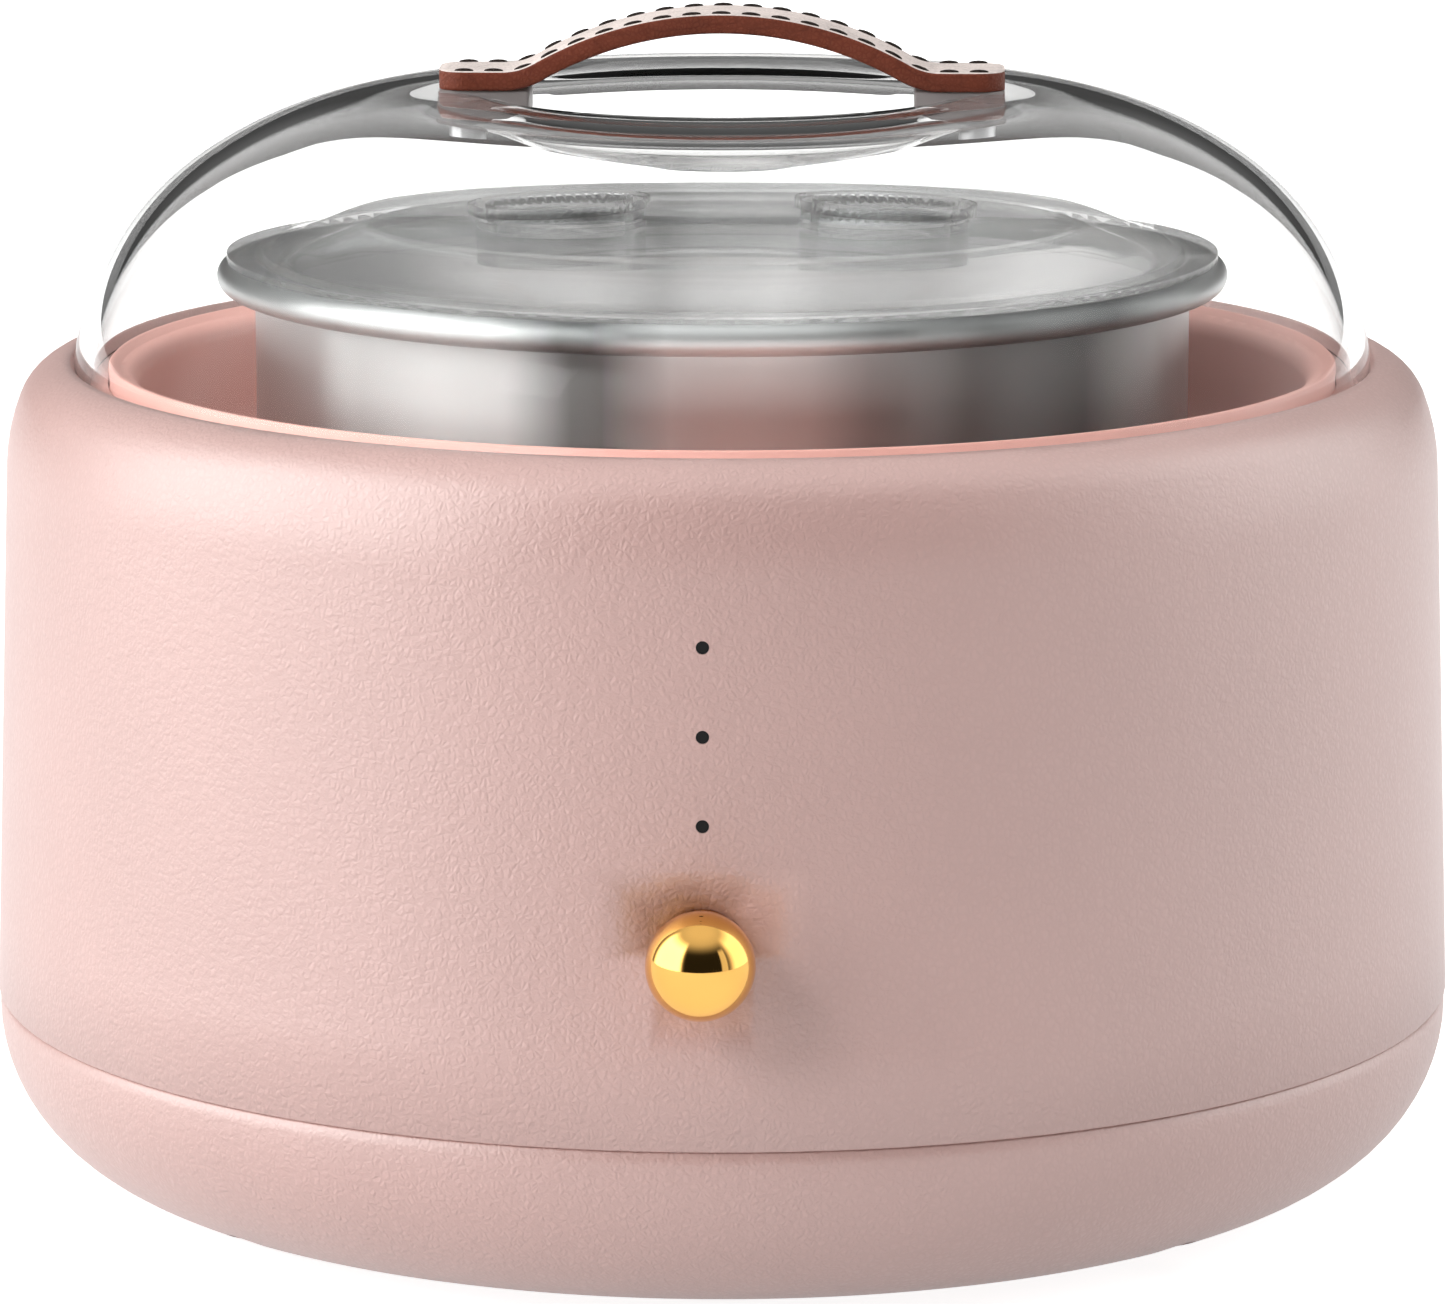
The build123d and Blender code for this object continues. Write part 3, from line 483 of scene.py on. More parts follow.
@finish_maker("glass_wool")
def glass_wool(name):
    look = Finish(name, (0.78, 0.74, 0.62), roughness=0.9)
    strand = look.noise(0.7, detail=4.0, stretch=(1, 1, 0.15))
    weave = look.noise(0.7, detail=4.0, stretch=(0.15, 0.15, 1))
    look.put("Base Color", look.blend(strand * weave * 1.6, (0.62, 0.57, 0.45), (0.85, 0.82, 0.72)))
    look.bump(strand + weave, 0.25, 0.9)
    return look


@finish_maker("board_green")
def board_green(name):
    look = Finish(name, (0.01, 0.10, 0.03), roughness=0.35)
    track = look.cells(3.4, "F1").between(0.32, 0.36)
    fibre = look.noise(0.4, detail=2.0)
    look.put("Base Color", look.blend(track, (0.02, 0.16, 0.05), (0.008, 0.08, 0.025)))
    look.put("Roughness", 0.3 + fibre * 0.12)
    look.bump(track, 0.03, 0.5)
    return look


@finish_maker("relay_blue")
def relay_blue(name):
    return moulded(name, (0.02, 0.08, 0.36), 0.3)


@finish_maker("capacitor_yellow")
def capacitor_yellow(name):
    return moulded(name, (0.70, 0.46, 0.03), 0.35)


@finish_maker("terminal_green")
def terminal_green(name):
    return moulded(name, (0.03, 0.22, 0.07), 0.45)


@finish_maker("socket_white")
def socket_white(name):
    return moulded(name, (0.78, 0.78, 0.72), 0.4)


@finish_maker("inlet_black")
def inlet_black(name):
    return moulded(name, (0.012, 0.012, 0.013), 0.42, 0.35, 0.04)


@finish_maker("light_epoxy")
def light_epoxy(name):
    return clear(name, (0.9, 0.92, 0.92), 0.05)


@finish_maker("lead_brown")
def lead_brown(name):
    return moulded(name, (0.10, 0.03, 0.012), 0.5, 0.4, 0.02)


@finish_maker("lead_white")
def lead_white(name):
    return moulded(name, (0.72, 0.70, 0.66), 0.65, 0.5, 0.08)


@finish_maker("lead_grey")
def lead_grey(name):
    return moulded(name, (0.26, 0.26, 0.26), 0.5, 0.4, 0.02)


NODE_FINISHES = {
    "upper_casing": "casing_leather_grain", "lower_casing": "casing_leather_grain", "bezel": "bezel_smooth",
    "rubber_feet": "foot_rubber", "casing_screws": "screw_zinc", "heating_well": "well_spun",
    "well_seal": "seal_silicone", "well_screws": "screw_zinc", "heating_ring": "heater_tube",
    "heater_terminals": "brass_plain", "heater_plate": "plate_cast", "heater_clamp": "screw_zinc",
    "clamp_nut": "screw_zinc", "thermal_cutout": "cutout_bakelite", "temperature_sensor": "sensor_bead",
    "insulation_sleeve": "glass_wool", "heat_shield": "shield_rolled", "shield_screws": "screw_zinc",
    "power_board": "board_green", "board_screws": "screw_zinc", "relay": "relay_blue",
    "capacitor": "capacitor_yellow", "terminal_block": "terminal_green", "board_sockets": "socket_white",
    "power_inlet": "inlet_black", "inlet_pins": "brass_plain", "control_board": "board_green",
    "control_screws": "screw_zinc", "level_lights": "light_epoxy", "light_pipes": "light_window",
    "push_switch": "inlet_black", "button_bush": "gold_plate", "bush_nut": "brass_plain",
    "button_spring": "spring_wire", "inlet_leads": "lead_brown", "heater_leads": "lead_white",
    "sensor_lead": "lead_grey", "board_ribbon": "lead_grey", "button_ball": "gold_plate",
    "button_stem": "gold_plate", "stem_clip": "spring_wire", "switch_plunger": "inlet_black",
    "wax_pot": "pot_steel", "splash_lid": "lid_plastic", "dome_cover": "cover_acrylic",
    "strap_blocks": "block_acrylic", "strap_core": "spring_wire", "strap_lining": "strap_side_leather",
    "strap_leather": "strap_side_leather", "strap_screws": "screw_zinc",
}


# ------------------------------------------------------------------ shaping
class Outline:
    """A wire of radius and height, in millimetres, drawn in the X-Z plane and then turned."""

    def __init__(self, radius, height):
        self.bm = bmesh.new()
        self.tip = self.bm.verts.new((radius * MM, 0, height * MM))

    def line(self, radius, height):
        made = bmesh.ops.extrude_vert_indiv(self.bm, verts=[self.tip])
        self.tip = made["verts"][0]
        self.tip.co = (radius * MM, 0, height * MM)
        return self

    def arc(self, radius, height, degrees, steps):
        """Swing the tip about a centre; a positive angle goes from outwards to upwards."""
        made = bmesh.ops.spin(
            self.bm, geom=[self.tip], cent=(radius * MM, 0, height * MM), axis=(0, -1, 0),
            angle=math.radians(degrees), steps=steps, use_merge=False, use_duplicate=False)
        self.tip = [g for g in made["geom_last"] if isinstance(g, bmesh.types.BMVert)][0]
        return self

    def turned(self, steps=192):
        bmesh.ops.spin(
            self.bm, geom=self.bm.verts[:] + self.bm.edges[:], cent=(0, 0, 0), axis=(0, 0, 1),
            angle=math.tau, steps=steps, use_merge=True, use_duplicate=False)
        tidy(self.bm)
        return self.bm


def tidy(bm, gap=1e-6):
    """Merge doubles, drop flat faces and turn every face outwards."""
    bmesh.ops.remove_doubles(bm, verts=bm.verts[:], dist=gap)
    bmesh.ops.dissolve_degenerate(bm, dist=gap, edges=bm.edges[:])
    bmesh.ops.recalc_face_normals(bm, faces=bm.faces[:])


def finished(name, bm, finishes, body, nodes=(), sharp=35.0):
    """The piece as an object: smooth, with its finishes, riding on a body."""
    mesh = bpy.data.meshes.new(name)
    bm.to_mesh(mesh)
    bm.free()
    mesh.shade_smooth()
    mesh.set_sharp_from_angle(angle=math.radians(sharp))
    for finish in finishes:
        mesh.materials.append(MAKERS[finish]())
    piece = bpy.data.objects.new(name, mesh)
    bpy.context.scene.collection.objects.link(piece)
    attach(piece, body)
    if nodes:
        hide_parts(*nodes)
    return piece


def skin_of(node, name, finish, body, gap=2e-6, sharp=30.0):
    """A smooth welded copy of a CAD node."""
    bm = bmesh.new()
    bm.from_mesh(NODES[node].data)
    bmesh.ops.remove_doubles(bm, verts=bm.verts[:], dist=gap)
    bmesh.ops.dissolve_degenerate(bm, dist=1e-7, edges=bm.edges[:])
    for face in bm.faces:
        face.material_index = 0
    return finished(name, bm, [finish], body, [node], sharp)


def rounded_box(bm, size, centre, radius, segments=3):
    """A box with rounded edges, added to bm; sizes in millimetres."""
    made = bmesh.ops.create_cube(bm, size=1.0)
    verts = made["verts"]
    bmesh.ops.scale(bm, verts=verts, vec=[s * MM for s in size])
    bmesh.ops.translate(bm, verts=verts, vec=[c * MM for c in centre])
    edges = list({e for v in verts for e in v.link_edges})
    bmesh.ops.bevel(
        bm, geom=edges, offset=radius * MM, segments=segments, affect="EDGES", profile=0.5, material=-1)


# ------------------------------------------------------------------ settings
def in_mm(name, description, default, low=0.0):
    """A size in millimetres."""
    return FloatProperty(name=name, description=description, default=default, min=low, precision=3)


def tint(name, description, default):
    return FloatVectorProperty(
        name=name, description=description, default=default, subtype="COLOR", size=3, min=0, max=1)


class CasingSettings(bpy.types.PropertyGroup):
    """Colours and grain of the casing and its button."""
    skin_colour: tint("Casing colour", "Colour of the grained casing", (0.56, 0.345, 0.315))
    bezel_colour: tint("Bezel colour", "Colour of the smooth ring round the pot", (0.84, 0.45, 0.39))
    button_colour: tint("Button colour", "Colour of the ball button and its bush", (0.90, 0.50, 0.13))
    grain_size: in_mm("Grain size", "Width of one pebble of the grain, mm", 0.85, 0.2)
    grain_depth: in_mm("Grain depth", "Depth of the grain, mm", 0.075)


class CoverSettings(bpy.types.PropertyGroup):
    """Shape and tint of the clear cover and the splash lid."""
    cover_colour: tint("Cover tint", "Tint of the clear cover", (0.985, 0.987, 0.985))
    lid_colour: tint("Lid tint", "Tint of the splash lid", (0.985, 0.985, 0.985))
    wall: in_mm("Wall", "Wall of the cover, mm", 2.5, 0.5)
    lean: FloatProperty(
        name="Lean", description="Lean of the side above the foot", default=math.radians(9.454),
        subtype="ANGLE")
    side_radius: in_mm("Side radius", "Radius of the side of the cover, mm", 36.193, 1)
    side_sweep: FloatProperty(
        name="Side sweep", description="Angle of the side arc", default=math.radians(45.607),
        subtype="ANGLE")
    top_radius: in_mm("Top radius", "Radius of the shoulder of the cover, mm", 50.305, 1)
    dish_radius: in_mm("Dish radius", "Radius of the finger dish, mm", 27.8, 1)


class PotSettings(bpy.types.PropertyGroup):
    """Metal of the wax pot."""
    steel_colour: tint("Steel colour", "Colour of the stainless steel", (0.90, 0.93, 0.93))
    wall: in_mm("Wall", "Sheet thickness, mm", 0.8, 0.2)
    corner: in_mm("Corner", "Outer radius between wall and bottom, mm", 6.0, 1)
    bead: in_mm("Rolled rim", "Radius of the rolled rim, mm", 1.9, 0.5)


class StrapSettings(bpy.types.PropertyGroup):
    """Leather and stitching of the strap handle."""
    leather_colour: tint("Leather", "Colour of the leather sides", (0.19, 0.042, 0.020))
    # pale colour of the upper face: painted sheen over the brown leather
    top_sheen_colour: tint("Top leather", "Colour of the upper leather face", (0.84, 0.74, 0.70))
    end_colour: tint("Cut ends", "Colour of the cut ends", (0.42, 0.20, 0.11))
    stitch_length: in_mm("Stitch length", "Length of a stitch, mm", 2.5, 0.3)
    stitch_pitch: in_mm("Stitch pitch", "Distance between stitches, mm", 3.7, 0.5)
    stitch_inset: in_mm("Stitch inset", "Distance of the stitching from the edge, mm", 0.85, 0.3)


class StageSettings(bpy.types.PropertyGroup):
    """Camera and lights."""
    lens: in_mm("Lens", "Focal length, mm", 181.1, 10)
    distance: FloatProperty(
        name="Distance", description="Camera to target", default=0.9283, unit="LENGTH")
    height: FloatProperty(
        name="Target height", description="Height of the target", default=0.0655, unit="LENGTH")
    elevation: FloatProperty(
        name="Elevation", description="Camera above the horizon", default=math.radians(10.93),
        subtype="ANGLE")
    azimuth: FloatProperty(
        name="Azimuth", description="Camera round from the front", default=math.radians(1.44),
        subtype="ANGLE")
    shift: FloatProperty(name="Shift", description="Sideways shift", default=0.0029)
    sky_level: FloatProperty(name="Sky", description="Brightness of the plain room", default=0.30, min=0)
    top_level: FloatProperty(name="Ceiling", description="Extra brightness overhead", default=0.62, min=0)
    panel_level: FloatProperty(name="Panel", description="Brightness of the left panel", default=3.5, min=0)
    side_level: FloatProperty(
        name="Side", description="Brightness of the right rear panel", default=1.8, min=0)
    floor_glow: FloatProperty(name="Floor glow", description="Light of the floor itself", default=0.02, min=0)
    floor_white: FloatProperty(
        name="Floor white", description="Extra light of the floor as the camera sees it", default=0.85, min=0)
    key_power: FloatProperty(name="Key", description="Upper left lamp", default=4.8, min=0, unit="POWER")


# ------------------------------------------------------------------ pieces
class WARMER_OT_finishes(bpy.types.Operator):
    """Give every CAD piece its finish"""
    bl_idname = "warmer.finishes"
    bl_label = "Finish the CAD pieces"

    def execute(self, context):
        for name, piece in NODES.items():
            material = MAKERS[NODE_FINISHES[name]]()
            piece.data.materials.clear()
            piece.data.materials.append(material)
        return {"FINISHED"}


class WARMER_OT_casing(bpy.types.Operator):
    """Make the grained casing, the base, the bezel and the heating well"""
    bl_idname = "warmer.casing"
    bl_label = "Casing"

    def execute(self, context):
        skin_of("upper_casing", "upper_casing_skin", "casing_leather_grain", "casing")
        skin_of("lower_casing", "lower_casing_skin", "casing_leather_grain", "casing")
        skin_of("bezel", "bezel_skin", "bezel_smooth", "casing", sharp=24)
        skin_of("heating_well", "heating_well_skin", "well_spun", "casing")
        skin_of("power_inlet", "power_inlet_skin", "inlet_black", "casing")
        return {"FINISHED"}


class WARMER_OT_feet(bpy.types.Operator):
    """Make the ringed rubber feet"""
    bl_idname = "warmer.feet"
    bl_label = "Rubber feet"

    def execute(self, context):
        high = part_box("rubber_feet")[1]
        top = high.z / MM
        radius, edge = 7.0, 0.9
        ring = (high.x / MM - radius) * math.sqrt(2)
        foot = Outline(0, 0.35)
        foot.line(1.6, 0.35).line(2.0, 0.0).line(3.0, 0.0).line(3.4, 0.4)
        foot.line(4.2, 0.4).line(4.6, 0.0).line(radius - edge, 0.0)
        foot.arc(radius - edge, edge, 90, 5).line(radius, top).line(0, top)
        bm = foot.turned(64)
        middle = bm.copy()
        verts = bm.verts[:]
        bmesh.ops.translate(bm, verts=verts, vec=(ring * MM, 0, 0))
        bmesh.ops.rotate(bm, verts=verts, cent=(0, 0, 0), matrix=Matrix.Rotation(math.tau / 8, 3, "Z"))
        bmesh.ops.spin(
            bm, geom=bm.verts[:] + bm.edges[:] + bm.faces[:], cent=(0, 0, 0), axis=(0, 0, 1),
            angle=math.tau * 3 / 4, steps=3, use_duplicate=True)
        keep = bpy.data.meshes.new("middle_foot")
        middle.to_mesh(keep)
        middle.free()
        bm.from_mesh(keep)
        bpy.data.meshes.remove(keep)
        tidy(bm)
        finished("rubber_feet_ringed", bm, ["foot_rubber"], "casing", ["rubber_feet"])
        return {"FINISHED"}


class WARMER_OT_button(bpy.types.Operator):
    """Make the polished ball button"""
    bl_idname = "warmer.button"
    bl_label = "Ball button"

    def execute(self, context):
        low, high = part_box("button_ball")
        radius = (high.z - low.z) / 2
        centre = Vector((0, low.y + radius, (low.z + high.z) / 2))
        bm = bmesh.new()
        bmesh.ops.create_uvsphere(bm, u_segments=96, v_segments=64, radius=radius)
        bmesh.ops.rotate(bm, verts=bm.verts[:], cent=(0, 0, 0), matrix=Matrix.Rotation(math.pi / 2, 3, "X"))
        bmesh.ops.translate(bm, verts=bm.verts[:], vec=centre)
        cut = bmesh.ops.bisect_plane(
            bm, geom=bm.verts[:] + bm.edges[:] + bm.faces[:], plane_co=(0, high.y, 0),
            plane_no=(0, 1, 0), clear_outer=True)
        rim = [g for g in cut["geom_cut"] if isinstance(g, bmesh.types.BMEdge)]
        cap = bmesh.ops.contextual_create(bm, geom=rim)["faces"]
        bmesh.ops.inset_region(bm, faces=cap, thickness=0.4 * MM, depth=0)
        tidy(bm, 1e-7)
        finished("button_ball_polished", bm, ["gold_plate"], "button", ["button_ball"], 40)
        skin_of("button_bush", "button_bush_skin", "gold_plate", "casing")
        skin_of("button_stem", "button_stem_skin", "gold_plate", "button")
        # the coil gets a mesh of its own; the share by which it would shorten towards its seat in the bush as
        # the ball goes in is worked out but not used
        near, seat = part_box("button_spring")
        coil = skin_of(
            "button_spring", "button_spring_coil", "spring_wire", "casing", sharp=60)
        press = next(j["range_m"][1] for j in frame["joints"] if j["name"] == "button_press")
        1 - press / (seat.y - near.y)
        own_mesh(coil)
        return {"FINISHED"}


class WARMER_OT_pot(bpy.types.Operator):
    """Make the stainless pot with its rolled rim"""
    bl_idname = "warmer.pot"
    bl_label = "Wax pot"

    def execute(self, context):
        look = context.scene.warmer_pot
        low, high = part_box("wax_pot")
        bottom, top, reach = low.z / MM, high.z / MM, high.x / MM
        bead = look.bead
        bead_place, bead_z = reach - bead, top - bead
        radius = bead_place - 2.8
        inner, corner = radius - look.wall, look.corner
        pot = Outline(0, bottom)
        pot.line(radius - corner, bottom)
        pot.arc(radius - corner, bottom + corner, 90, 12)
        pot.line(radius, bead_z - 2.4)
        pot.line(radius + 0.12, bead_z - 1.5).line(radius + 0.6, bead_z - 0.6)
        pot.line(bead_place - bead * math.cos(math.radians(30)), bead_z - bead * 0.5)
        pot.arc(bead_place, bead_z, 240, 28)
        pot.arc(bead_place, bead_z, 30, 4)
        pot.line(bead_place - 1.2, bead_z + bead - 0.35).line(bead_place - 2.0, bead_z + bead - 1.0)
        pot.line(inner + 0.55, bead_z + 0.1).line(inner + 0.1, bead_z - 1.1)
        pot.line(inner, bead_z - 2.4)
        pot.line(inner, bottom + corner)
        pot.arc(radius - corner, bottom + corner, -90, 12)
        pot.line(0, bottom + look.wall)
        bm = pot.turned()
        for face in bm.faces:
            middle = face.calc_center_median()
            if middle.xy.length < (inner + 0.1) * MM and middle.z > (bottom + look.wall / 2) * MM:
                face.material_index = 1
        finished("wax_pot_rolled", bm, ["pot_steel", "pot_inside"], "pot", ["wax_pot"], 50)
        return {"FINISHED"}


class WARMER_OT_splash_lid(bpy.types.Operator):
    """Make the clear splash lid with its two spouts"""
    bl_idname = "warmer.splash_lid"
    bl_label = "Splash lid"

    def execute(self, context):
        skin_of("splash_lid", "splash_lid_clear", "lid_plastic", "lid", sharp=28)
        return {"FINISHED"}


class WARMER_OT_cover(bpy.types.Operator):
    """Make the clear dome cover with its finger dish"""
    bl_idname = "warmer.cover"
    bl_label = "Dome cover"

    def execute(self, context):
        look = context.scene.warmer_cover
        low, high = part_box("dome_cover")
        foot, reach, top = low.z / MM, high.x / MM, high.z / MM
        sweep = math.degrees(look.side_sweep)
        start_r, start_z = reach - 0.12, foot + 2.55
        side_r = start_r - look.side_radius * math.cos(look.lean)
        side_z = start_z - look.side_radius * math.sin(look.lean)
        step = look.side_radius - look.top_radius
        join = look.lean + look.side_sweep
        top_r = side_r + step * math.cos(join)
        top_z = side_z + step * math.sin(join)
        wall, dish = look.wall, look.dish_radius
        inner_r = start_r - wall * math.cos(look.lean)
        inner_z = start_z - wall * math.sin(look.lean)
        sunk, under = top - 7.25, top - 9.25        # middle of the finger dish, above and below
        dish_curve, dish_flat = 75, 18
        cover = Outline(0, sunk)
        cover.arc(0, sunk + dish_curve, math.degrees(math.asin(dish_flat / dish_curve)), 10)
        cover.line(dish - 5.4, top - 3.95).line(dish - 2.6, top - 2.6).line(dish - 0.6, top - 1.35)
        cover.line(dish + 0.5, top - 0.75).line(dish + 2.4, top - 0.22).line(dish + 5.5, top - 0.06)
        cover.line(top_r, top)
        cover.arc(top_r, top_z, math.degrees(join) - 90, 26)
        cover.arc(side_r, side_z, -sweep, 26)
        edge = 0.5
        cover.line(reach, foot + edge).arc(reach - edge, foot + edge, -90, 4)
        cover.line(reach - wall + edge, foot).arc(reach - wall + edge, foot + edge, -90, 4)
        cover.line(inner_r, inner_z)
        cover.arc(side_r, side_z, sweep, 26)
        cover.arc(top_r, top_z, 90 - math.degrees(join), 26)
        cover.line(dish + 4.0, top - wall - 0.1).line(dish + 2.2, top - wall - 0.42)
        cover.line(dish + 0.4, top - 3.45).line(dish - 4.6, top - 5.95).line(18.5, under + 2.26)
        cover.line(9.0, under + 0.53).line(0, under)
        finished(
            "dome_cover_clear", cover.turned(224), ["cover_acrylic"], "cover", ["dome_cover"],
            40)
        return {"FINISHED"}


class WARMER_OT_strap(bpy.types.Operator):
    """Make the stitched leather strap and the blocks under its ends"""
    bl_idname = "warmer.strap"
    bl_label = "Strap handle"
    thickness = 2.45 * MM
    pad_length = 8.0 * MM           # flat length at each end
    crown_radius = 45.0 * MM        # underside of the arch
    end_corner = 3.4 * MM           # rounded corners, seen from above
    stitch_room = 0.38 * MM         # keeps the stitches below the top of the strap's box
    stitch_wide, stitch_high = 0.75 * MM, 0.62 * MM
    stitch_proud = 0.03 * MM        # middle of a stitch above the leather
    block_inner, block_outer = 26.2, 37.5

    def execute(self, context):
        low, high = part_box("strap_leather")
        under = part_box("strap_lining")[0].z
        half = high.x
        width = high.y - low.y
        thick = self.thickness
        rise = high.z - under - thick - self.stitch_room
        run = half - self.pad_length
        crown = self.crown_radius
        bend = 2 * math.atan2(rise, run)
        foot = run / math.sin(bend) - crown
        crown_centre = Vector((0, 0, under + rise - crown))
        foot_centre = Vector((run, 0, under + foot))
        # rounded section at the left end, then pad, foot, crown, foot and pad
        bm = bmesh.new()
        rounded = bmesh.ops.create_grid(bm, x_segments=1, y_segments=1, size=0.5)
        bmesh.ops.scale(bm, verts=rounded["verts"], vec=(thick, width, 1))
        bmesh.ops.rotate(
            bm, verts=rounded["verts"], cent=(0, 0, 0), matrix=Matrix.Rotation(math.pi / 2, 3, "Y"))
        bmesh.ops.translate(bm, verts=rounded["verts"], vec=(-half, 0, under + thick / 2))
        bmesh.ops.bevel(
            bm, geom=bm.verts[:], offset=0.45 * MM, segments=4, affect="VERTICES", profile=0.5, material=-1)
        section = bm.edges[:]

        def grow(edges, length, steps):
            for _ in range(steps):
                made = bmesh.ops.extrude_edge_only(bm, edges=edges)["geom"]
                verts = [g for g in made if isinstance(g, bmesh.types.BMVert)]
                bmesh.ops.translate(bm, verts=verts, vec=(length / steps, 0, 0))
                edges = [g for g in made if isinstance(g, bmesh.types.BMEdge)
                         and g.verts[0] in verts and g.verts[1] in verts]
            return edges

        def swing(edges, centre, angle, steps):
            made = bmesh.ops.spin(
                bm, geom=edges, cent=centre, axis=(0, 1, 0), angle=angle, steps=steps,
                use_merge=False, use_duplicate=False)["geom_last"]
            return [g for g in made if isinstance(g, bmesh.types.BMEdge)]

        left_foot = Vector((-foot_centre.x, 0, foot_centre.z))
        edges = grow(section, half - run, 18)
        edges = swing(edges, left_foot, -bend, 10)
        edges = swing(edges, crown_centre, 2 * bend, 40)
        edges = swing(edges, foot_centre, -bend, 10)
        edges = grow(edges, half - run, 18)
        bmesh.ops.contextual_create(bm, geom=edges)
        tidy(bm)
        # round the corners of both ends, seen from above
        corner = self.end_corner
        for vert in bm.verts:
            depth = half - abs(vert.co.x)
            if depth < corner:
                reach = width / 2 - corner + math.sqrt(max(0.0, corner ** 2 - (corner - depth) ** 2))
                vert.co.y *= max(reach, 0.3 * width / 2) / (width / 2)
        ends = [
            f for f in bm.faces
            if abs(f.normal.x) > 0.95 and abs(abs(f.calc_center_median().x) - half) < 1e-5]
        # faces that look up take the pale top finish, a painted sheen; the rest take the brown sides
        for face in bm.faces:
            face.material_index = 1 if face.normal.z > 0.6 else 0
        for face in ends:
            face.material_index = 2
        bmesh.ops.inset_region(bm, faces=ends, thickness=0.25 * MM, depth=0)
        finished(
            "strap_band", bm, ["strap_side_leather", "strap_top_leather", "strap_end_leather"], "cover",
            ["strap_leather", "strap_lining", "strap_core"], 50)
        self.stitch(
            context, half, run, width, under + thick, crown + thick, bend, foot_centre, crown_centre,
            foot - thick)
        low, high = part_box("strap_blocks")
        size = ((self.block_outer - self.block_inner), (high.y - low.y) / MM, (high.z - low.z) / MM)
        bm = bmesh.new()
        for side in (-1, 1):
            rounded_box(bm, size, (side * (high.x / MM - size[0] / 2), 0, (low.z + high.z) / 2 / MM), 0.35)
        finished("strap_blocks_clear", bm, ["block_acrylic"], "cover", ["strap_blocks"], 40)
        return {"FINISHED"}

    def stitch(self, context, half, run, width, top, crown, bend, foot_centre, crown_centre, hollow):
        """Lay stitches along both long edges of the upper face."""
        look = context.scene.warmer_strap
        pad = half - run - 1.4 * MM
        bow = hollow * bend
        arch = crown * bend
        total = pad + bow + arch

        def spot(along):
            """Place and slope on the upper face, measured from the crown outwards."""
            side = -1 if along < 0 else 1
            s = abs(along)
            if s < arch:
                turn = s / crown
                place = Vector((side * crown * math.sin(turn), 0, crown_centre.z + crown * math.cos(turn)))
                return place, side * turn
            s -= arch
            if s < bow:
                turn = bend - s / hollow
                return Vector((
                    side * (foot_centre.x - hollow * math.sin(turn)), 0,
                    foot_centre.z - hollow * math.cos(turn))), side * turn
            return Vector((side * (run + s - bow), 0, top)), 0.0

        pitch = look.stitch_pitch * MM
        count = int(total / pitch)
        bm = bmesh.new()
        for row in (-1, 1):
            for index in range(-count, count + 1):
                where, turn = spot(index * pitch)
                made = bmesh.ops.create_icosphere(bm, subdivisions=2, radius=0.5)["verts"]
                bmesh.ops.scale(bm, verts=made, vec=(
                    look.stitch_length * MM, self.stitch_wide, self.stitch_high))
                bmesh.ops.rotate(
                    bm, verts=made, cent=(0, 0, 0),
                    matrix=Matrix.Rotation(turn, 3, "Y") @ Matrix.Rotation(row * 0.06, 3, "Z"))
                where.y = row * (width / 2 - look.stitch_inset * MM)
                where.z += self.stitch_proud
                bmesh.ops.translate(bm, verts=made, vec=where)
        finished("strap_stitches", bm, ["stitch_thread"], "cover", (), 60)


KEY_PLACE = (-0.75, -1.05, 0.95)
KEY_SIZE = 0.32
KEY_AIM = Vector((0, 0, 0.08))
FLOOR_REACH = 4.0


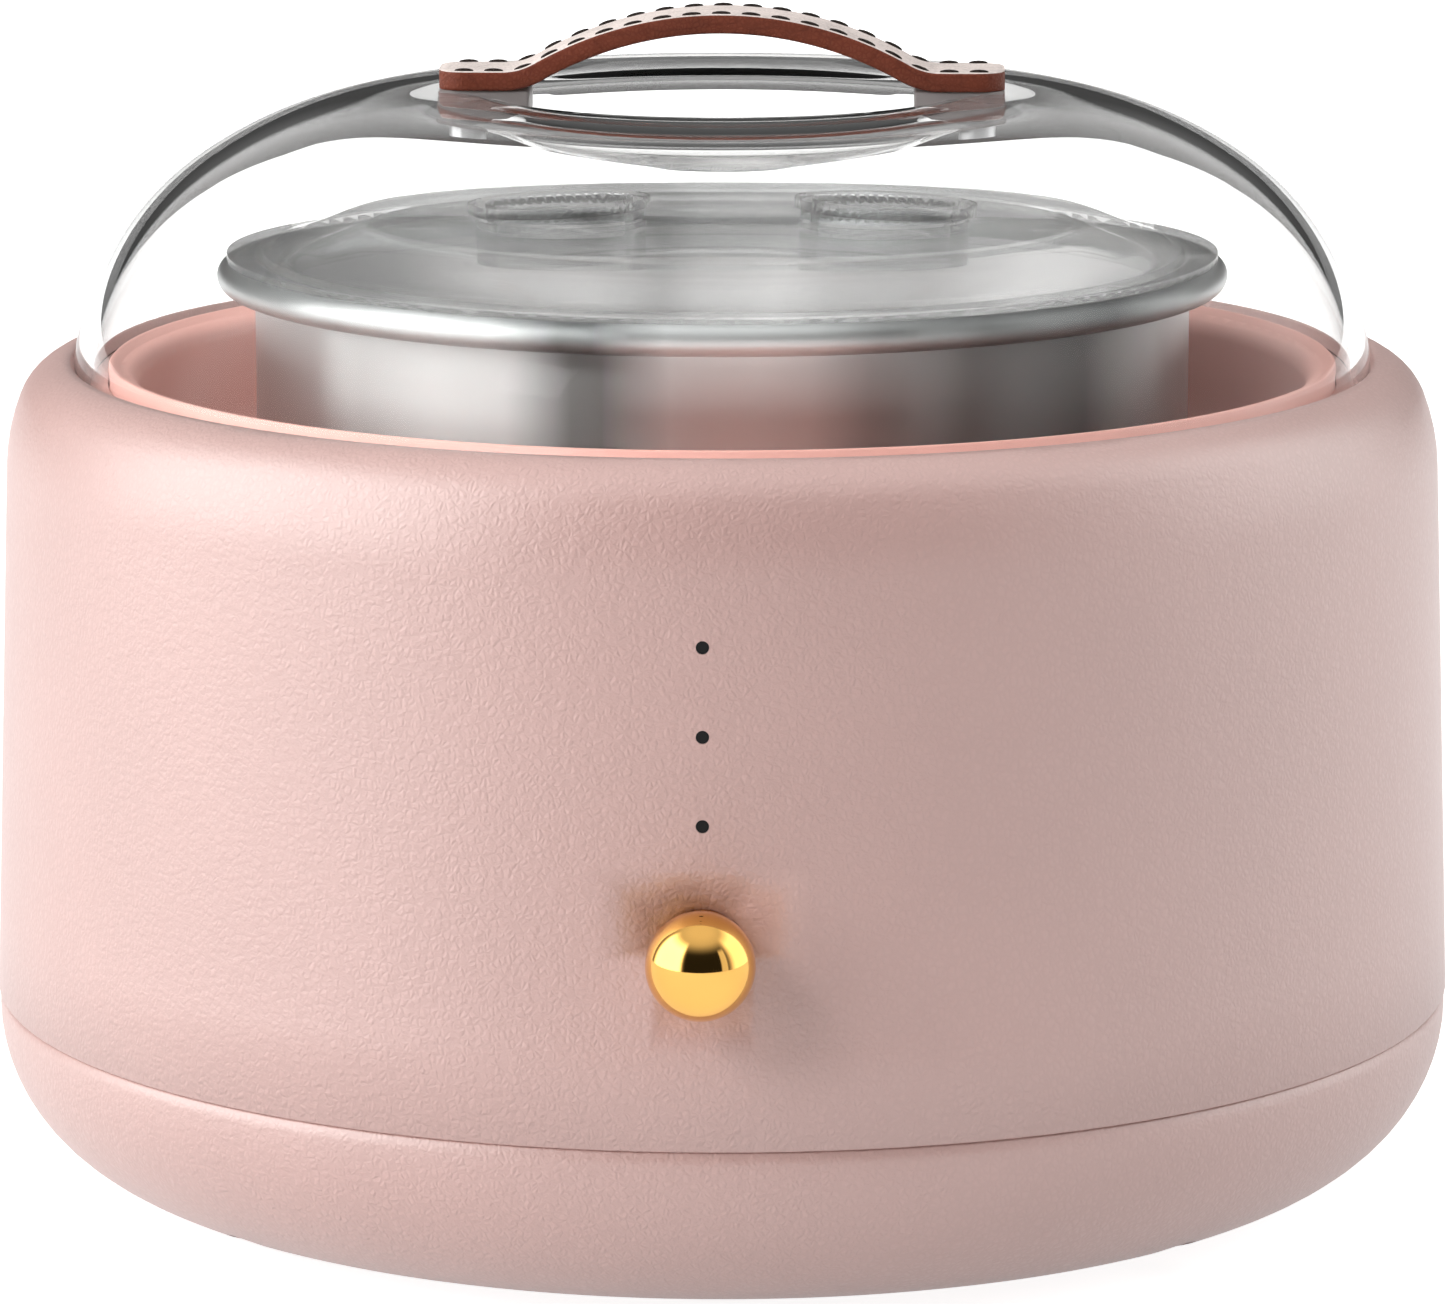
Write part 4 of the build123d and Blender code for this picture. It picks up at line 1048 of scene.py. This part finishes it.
class WARMER_OT_stage(bpy.types.Operator):
    """Set up the floor, the soft lights and the camera"""
    bl_idname = "warmer.stage"
    bl_label = "Stage"

    def execute(self, context):
        scene = context.scene
        look = scene.warmer_stage
        scene.view_settings.view_transform = "Standard"
        scene.view_settings.look = "None"
        bm = bmesh.new()
        bmesh.ops.create_grid(bm, x_segments=1, y_segments=1, size=FLOOR_REACH)
        mesh = bpy.data.meshes.new("floor")
        bm.to_mesh(mesh)
        bm.free()
        paper = Finish("floor_paper", (0.90, 0.90, 0.90), roughness=0.9)
        paper.put("Specular IOR Level", 0.0)
        speck = paper.noise(30.0, detail=2.0)
        paper.put("Base Color", paper.blend(speck * 0.05, (0.60, 0.60, 0.60), (0.55, 0.55, 0.55)))
        path = paper.node("ShaderNodeLightPath").socket.node
        rays = ("Is Camera Ray", "Is Transmission Ray", "Is Glossy Ray")
        seen, through, mirrored = (Value(paper, path.outputs[key]) for key in rays)
        paper.put("Emission Color", paper.blend(
            seen.maths("MAXIMUM", through).maths("MAXIMUM", mirrored * 0.6),
            (look.floor_glow,) * 3, (look.floor_glow + look.floor_white,) * 3))
        paper.put("Emission Strength", 1.0)
        mesh.materials.append(paper.material)
        floor = bpy.data.objects.new("floor", mesh)
        scene.collection.objects.link(floor)
        self.sky(scene, look)
        self.lamp("key_upper_left", KEY_PLACE, KEY_SIZE, look.key_power)
        self.camera(scene, look)
        return {"FINISHED"}

    def sky(self, scene, look):
        """The room: panels left and right rear, a dark front with a strip, a dark belt behind."""
        world = bpy.data.worlds.new("room")
        scene.world = world
        room = Nodes(world)
        split = room.node("ShaderNodeSeparateXYZ", None, {0: room.node("ShaderNodeTexCoord", output=0)})
        x, y, z = (Value(room, split.socket.node.outputs[i]) for i in range(3))
        turn = x.maths("ARCTAN2", y * -1.0) * (180 / math.pi)
        rise = z.maths("ARCSINE") * (180 / math.pi)
        low = 1 - rise.between(38, 62)
        left = turn.band(-104, -46, 12) * low
        front = turn.band(-30, 56, 14) * (1 - rise.between(34, 60))
        side = turn.band(84, 122, 20) * low
        strip = turn.band(50, 60, 4) * (1 - rise.between(34, 44))
        behind = y.between(0.55, 0.85) * (1 - rise.between(7, 14))
        shade = look.sky_level + rise.between(20, 80) * look.top_level
        shade = shade + left * look.panel_level + side * look.side_level
        shade = shade * (1 - front * 0.93) * (1 - behind * 0.80) + strip * 0.9
        glow = room.node("ShaderNodeBackground", None, {"Color": room.node(
            "ShaderNodeCombineColor", None, {0: shade, 1: shade * 0.995, 2: shade * 0.985})})
        output = room.tree.nodes.new("ShaderNodeOutputWorld")
        room.tree.links.new(glow.socket, output.inputs["Surface"])

    def lamp(self, name, place, size, power):
        """A square soft lamp turned to the middle of the object."""
        data = bpy.data.lights.new(name, "AREA")
        data.shape = "RECTANGLE"
        data.size = data.size_y = size
        data.energy = power
        lamp = bpy.data.objects.new(name, data)
        lamp.visible_glossy = False
        lamp.location = place
        aim = KEY_AIM - Vector(place)
        lamp.rotation_euler = aim.to_track_quat("-Z", "Y").to_euler()
        bpy.context.scene.collection.objects.link(lamp)

    def camera(self, scene, look):
        data = bpy.data.cameras.new("camera")
        data.sensor_width = 36.0
        data.lens = look.lens
        data.shift_x = look.shift
        data.clip_start = 0.01
        data.clip_end = 50.0
        camera = bpy.data.objects.new("camera", data)
        level = look.distance * math.cos(look.elevation)
        camera.location = (
            level * math.sin(look.azimuth), -level * math.cos(look.azimuth),
            look.height + look.distance * math.sin(look.elevation))
        aim = Vector((0, 0, look.height)) - camera.location
        camera.rotation_euler = aim.to_track_quat("-Z", "Y").to_euler()
        scene.collection.objects.link(camera)
        scene.camera = camera


class WARMER_PT_panel(bpy.types.Panel):
    """Sidebar panel with the pieces and their settings"""
    bl_idname = "WARMER_PT_panel"
    bl_label = "Wax Warmer"
    bl_space_type = "VIEW_3D"
    bl_region_type = "UI"
    bl_category = "Wax Warmer"

    def draw(self, context):
        for operator in OPERATORS:
            self.layout.operator(operator.bl_idname)
        for key in SETTINGS:
            group = getattr(context.scene, key)
            box = self.layout.box()
            for prop in group.bl_rna.properties:
                if prop.identifier not in {"rna_type", "name"}:
                    box.prop(group, prop.identifier)


SETTINGS = {
    "warmer_casing": CasingSettings,
    "warmer_cover": CoverSettings,
    "warmer_pot": PotSettings,
    "warmer_strap": StrapSettings,
    "warmer_stage": StageSettings,
}
OPERATORS = (
    WARMER_OT_finishes, WARMER_OT_casing, WARMER_OT_feet, WARMER_OT_button, WARMER_OT_pot,
    WARMER_OT_splash_lid, WARMER_OT_cover, WARMER_OT_strap, WARMER_OT_stage,
)
CLASSES = tuple(SETTINGS.values()) + OPERATORS + (WARMER_PT_panel,)


def register():
    for cls in CLASSES:
        bpy.utils.register_class(cls)
    for key, group in SETTINGS.items():
        setattr(bpy.types.Scene, key, PointerProperty(type=group))


def unregister():
    for key in SETTINGS:
        delattr(bpy.types.Scene, key)
    for cls in reversed(CLASSES):
        bpy.utils.unregister_class(cls)


def main():
    register()
    for operator in OPERATORS:
        group, verb = operator.bl_idname.split(".")
        getattr(getattr(bpy.ops, group), verb)()


if __name__ == "__main__":
    main()
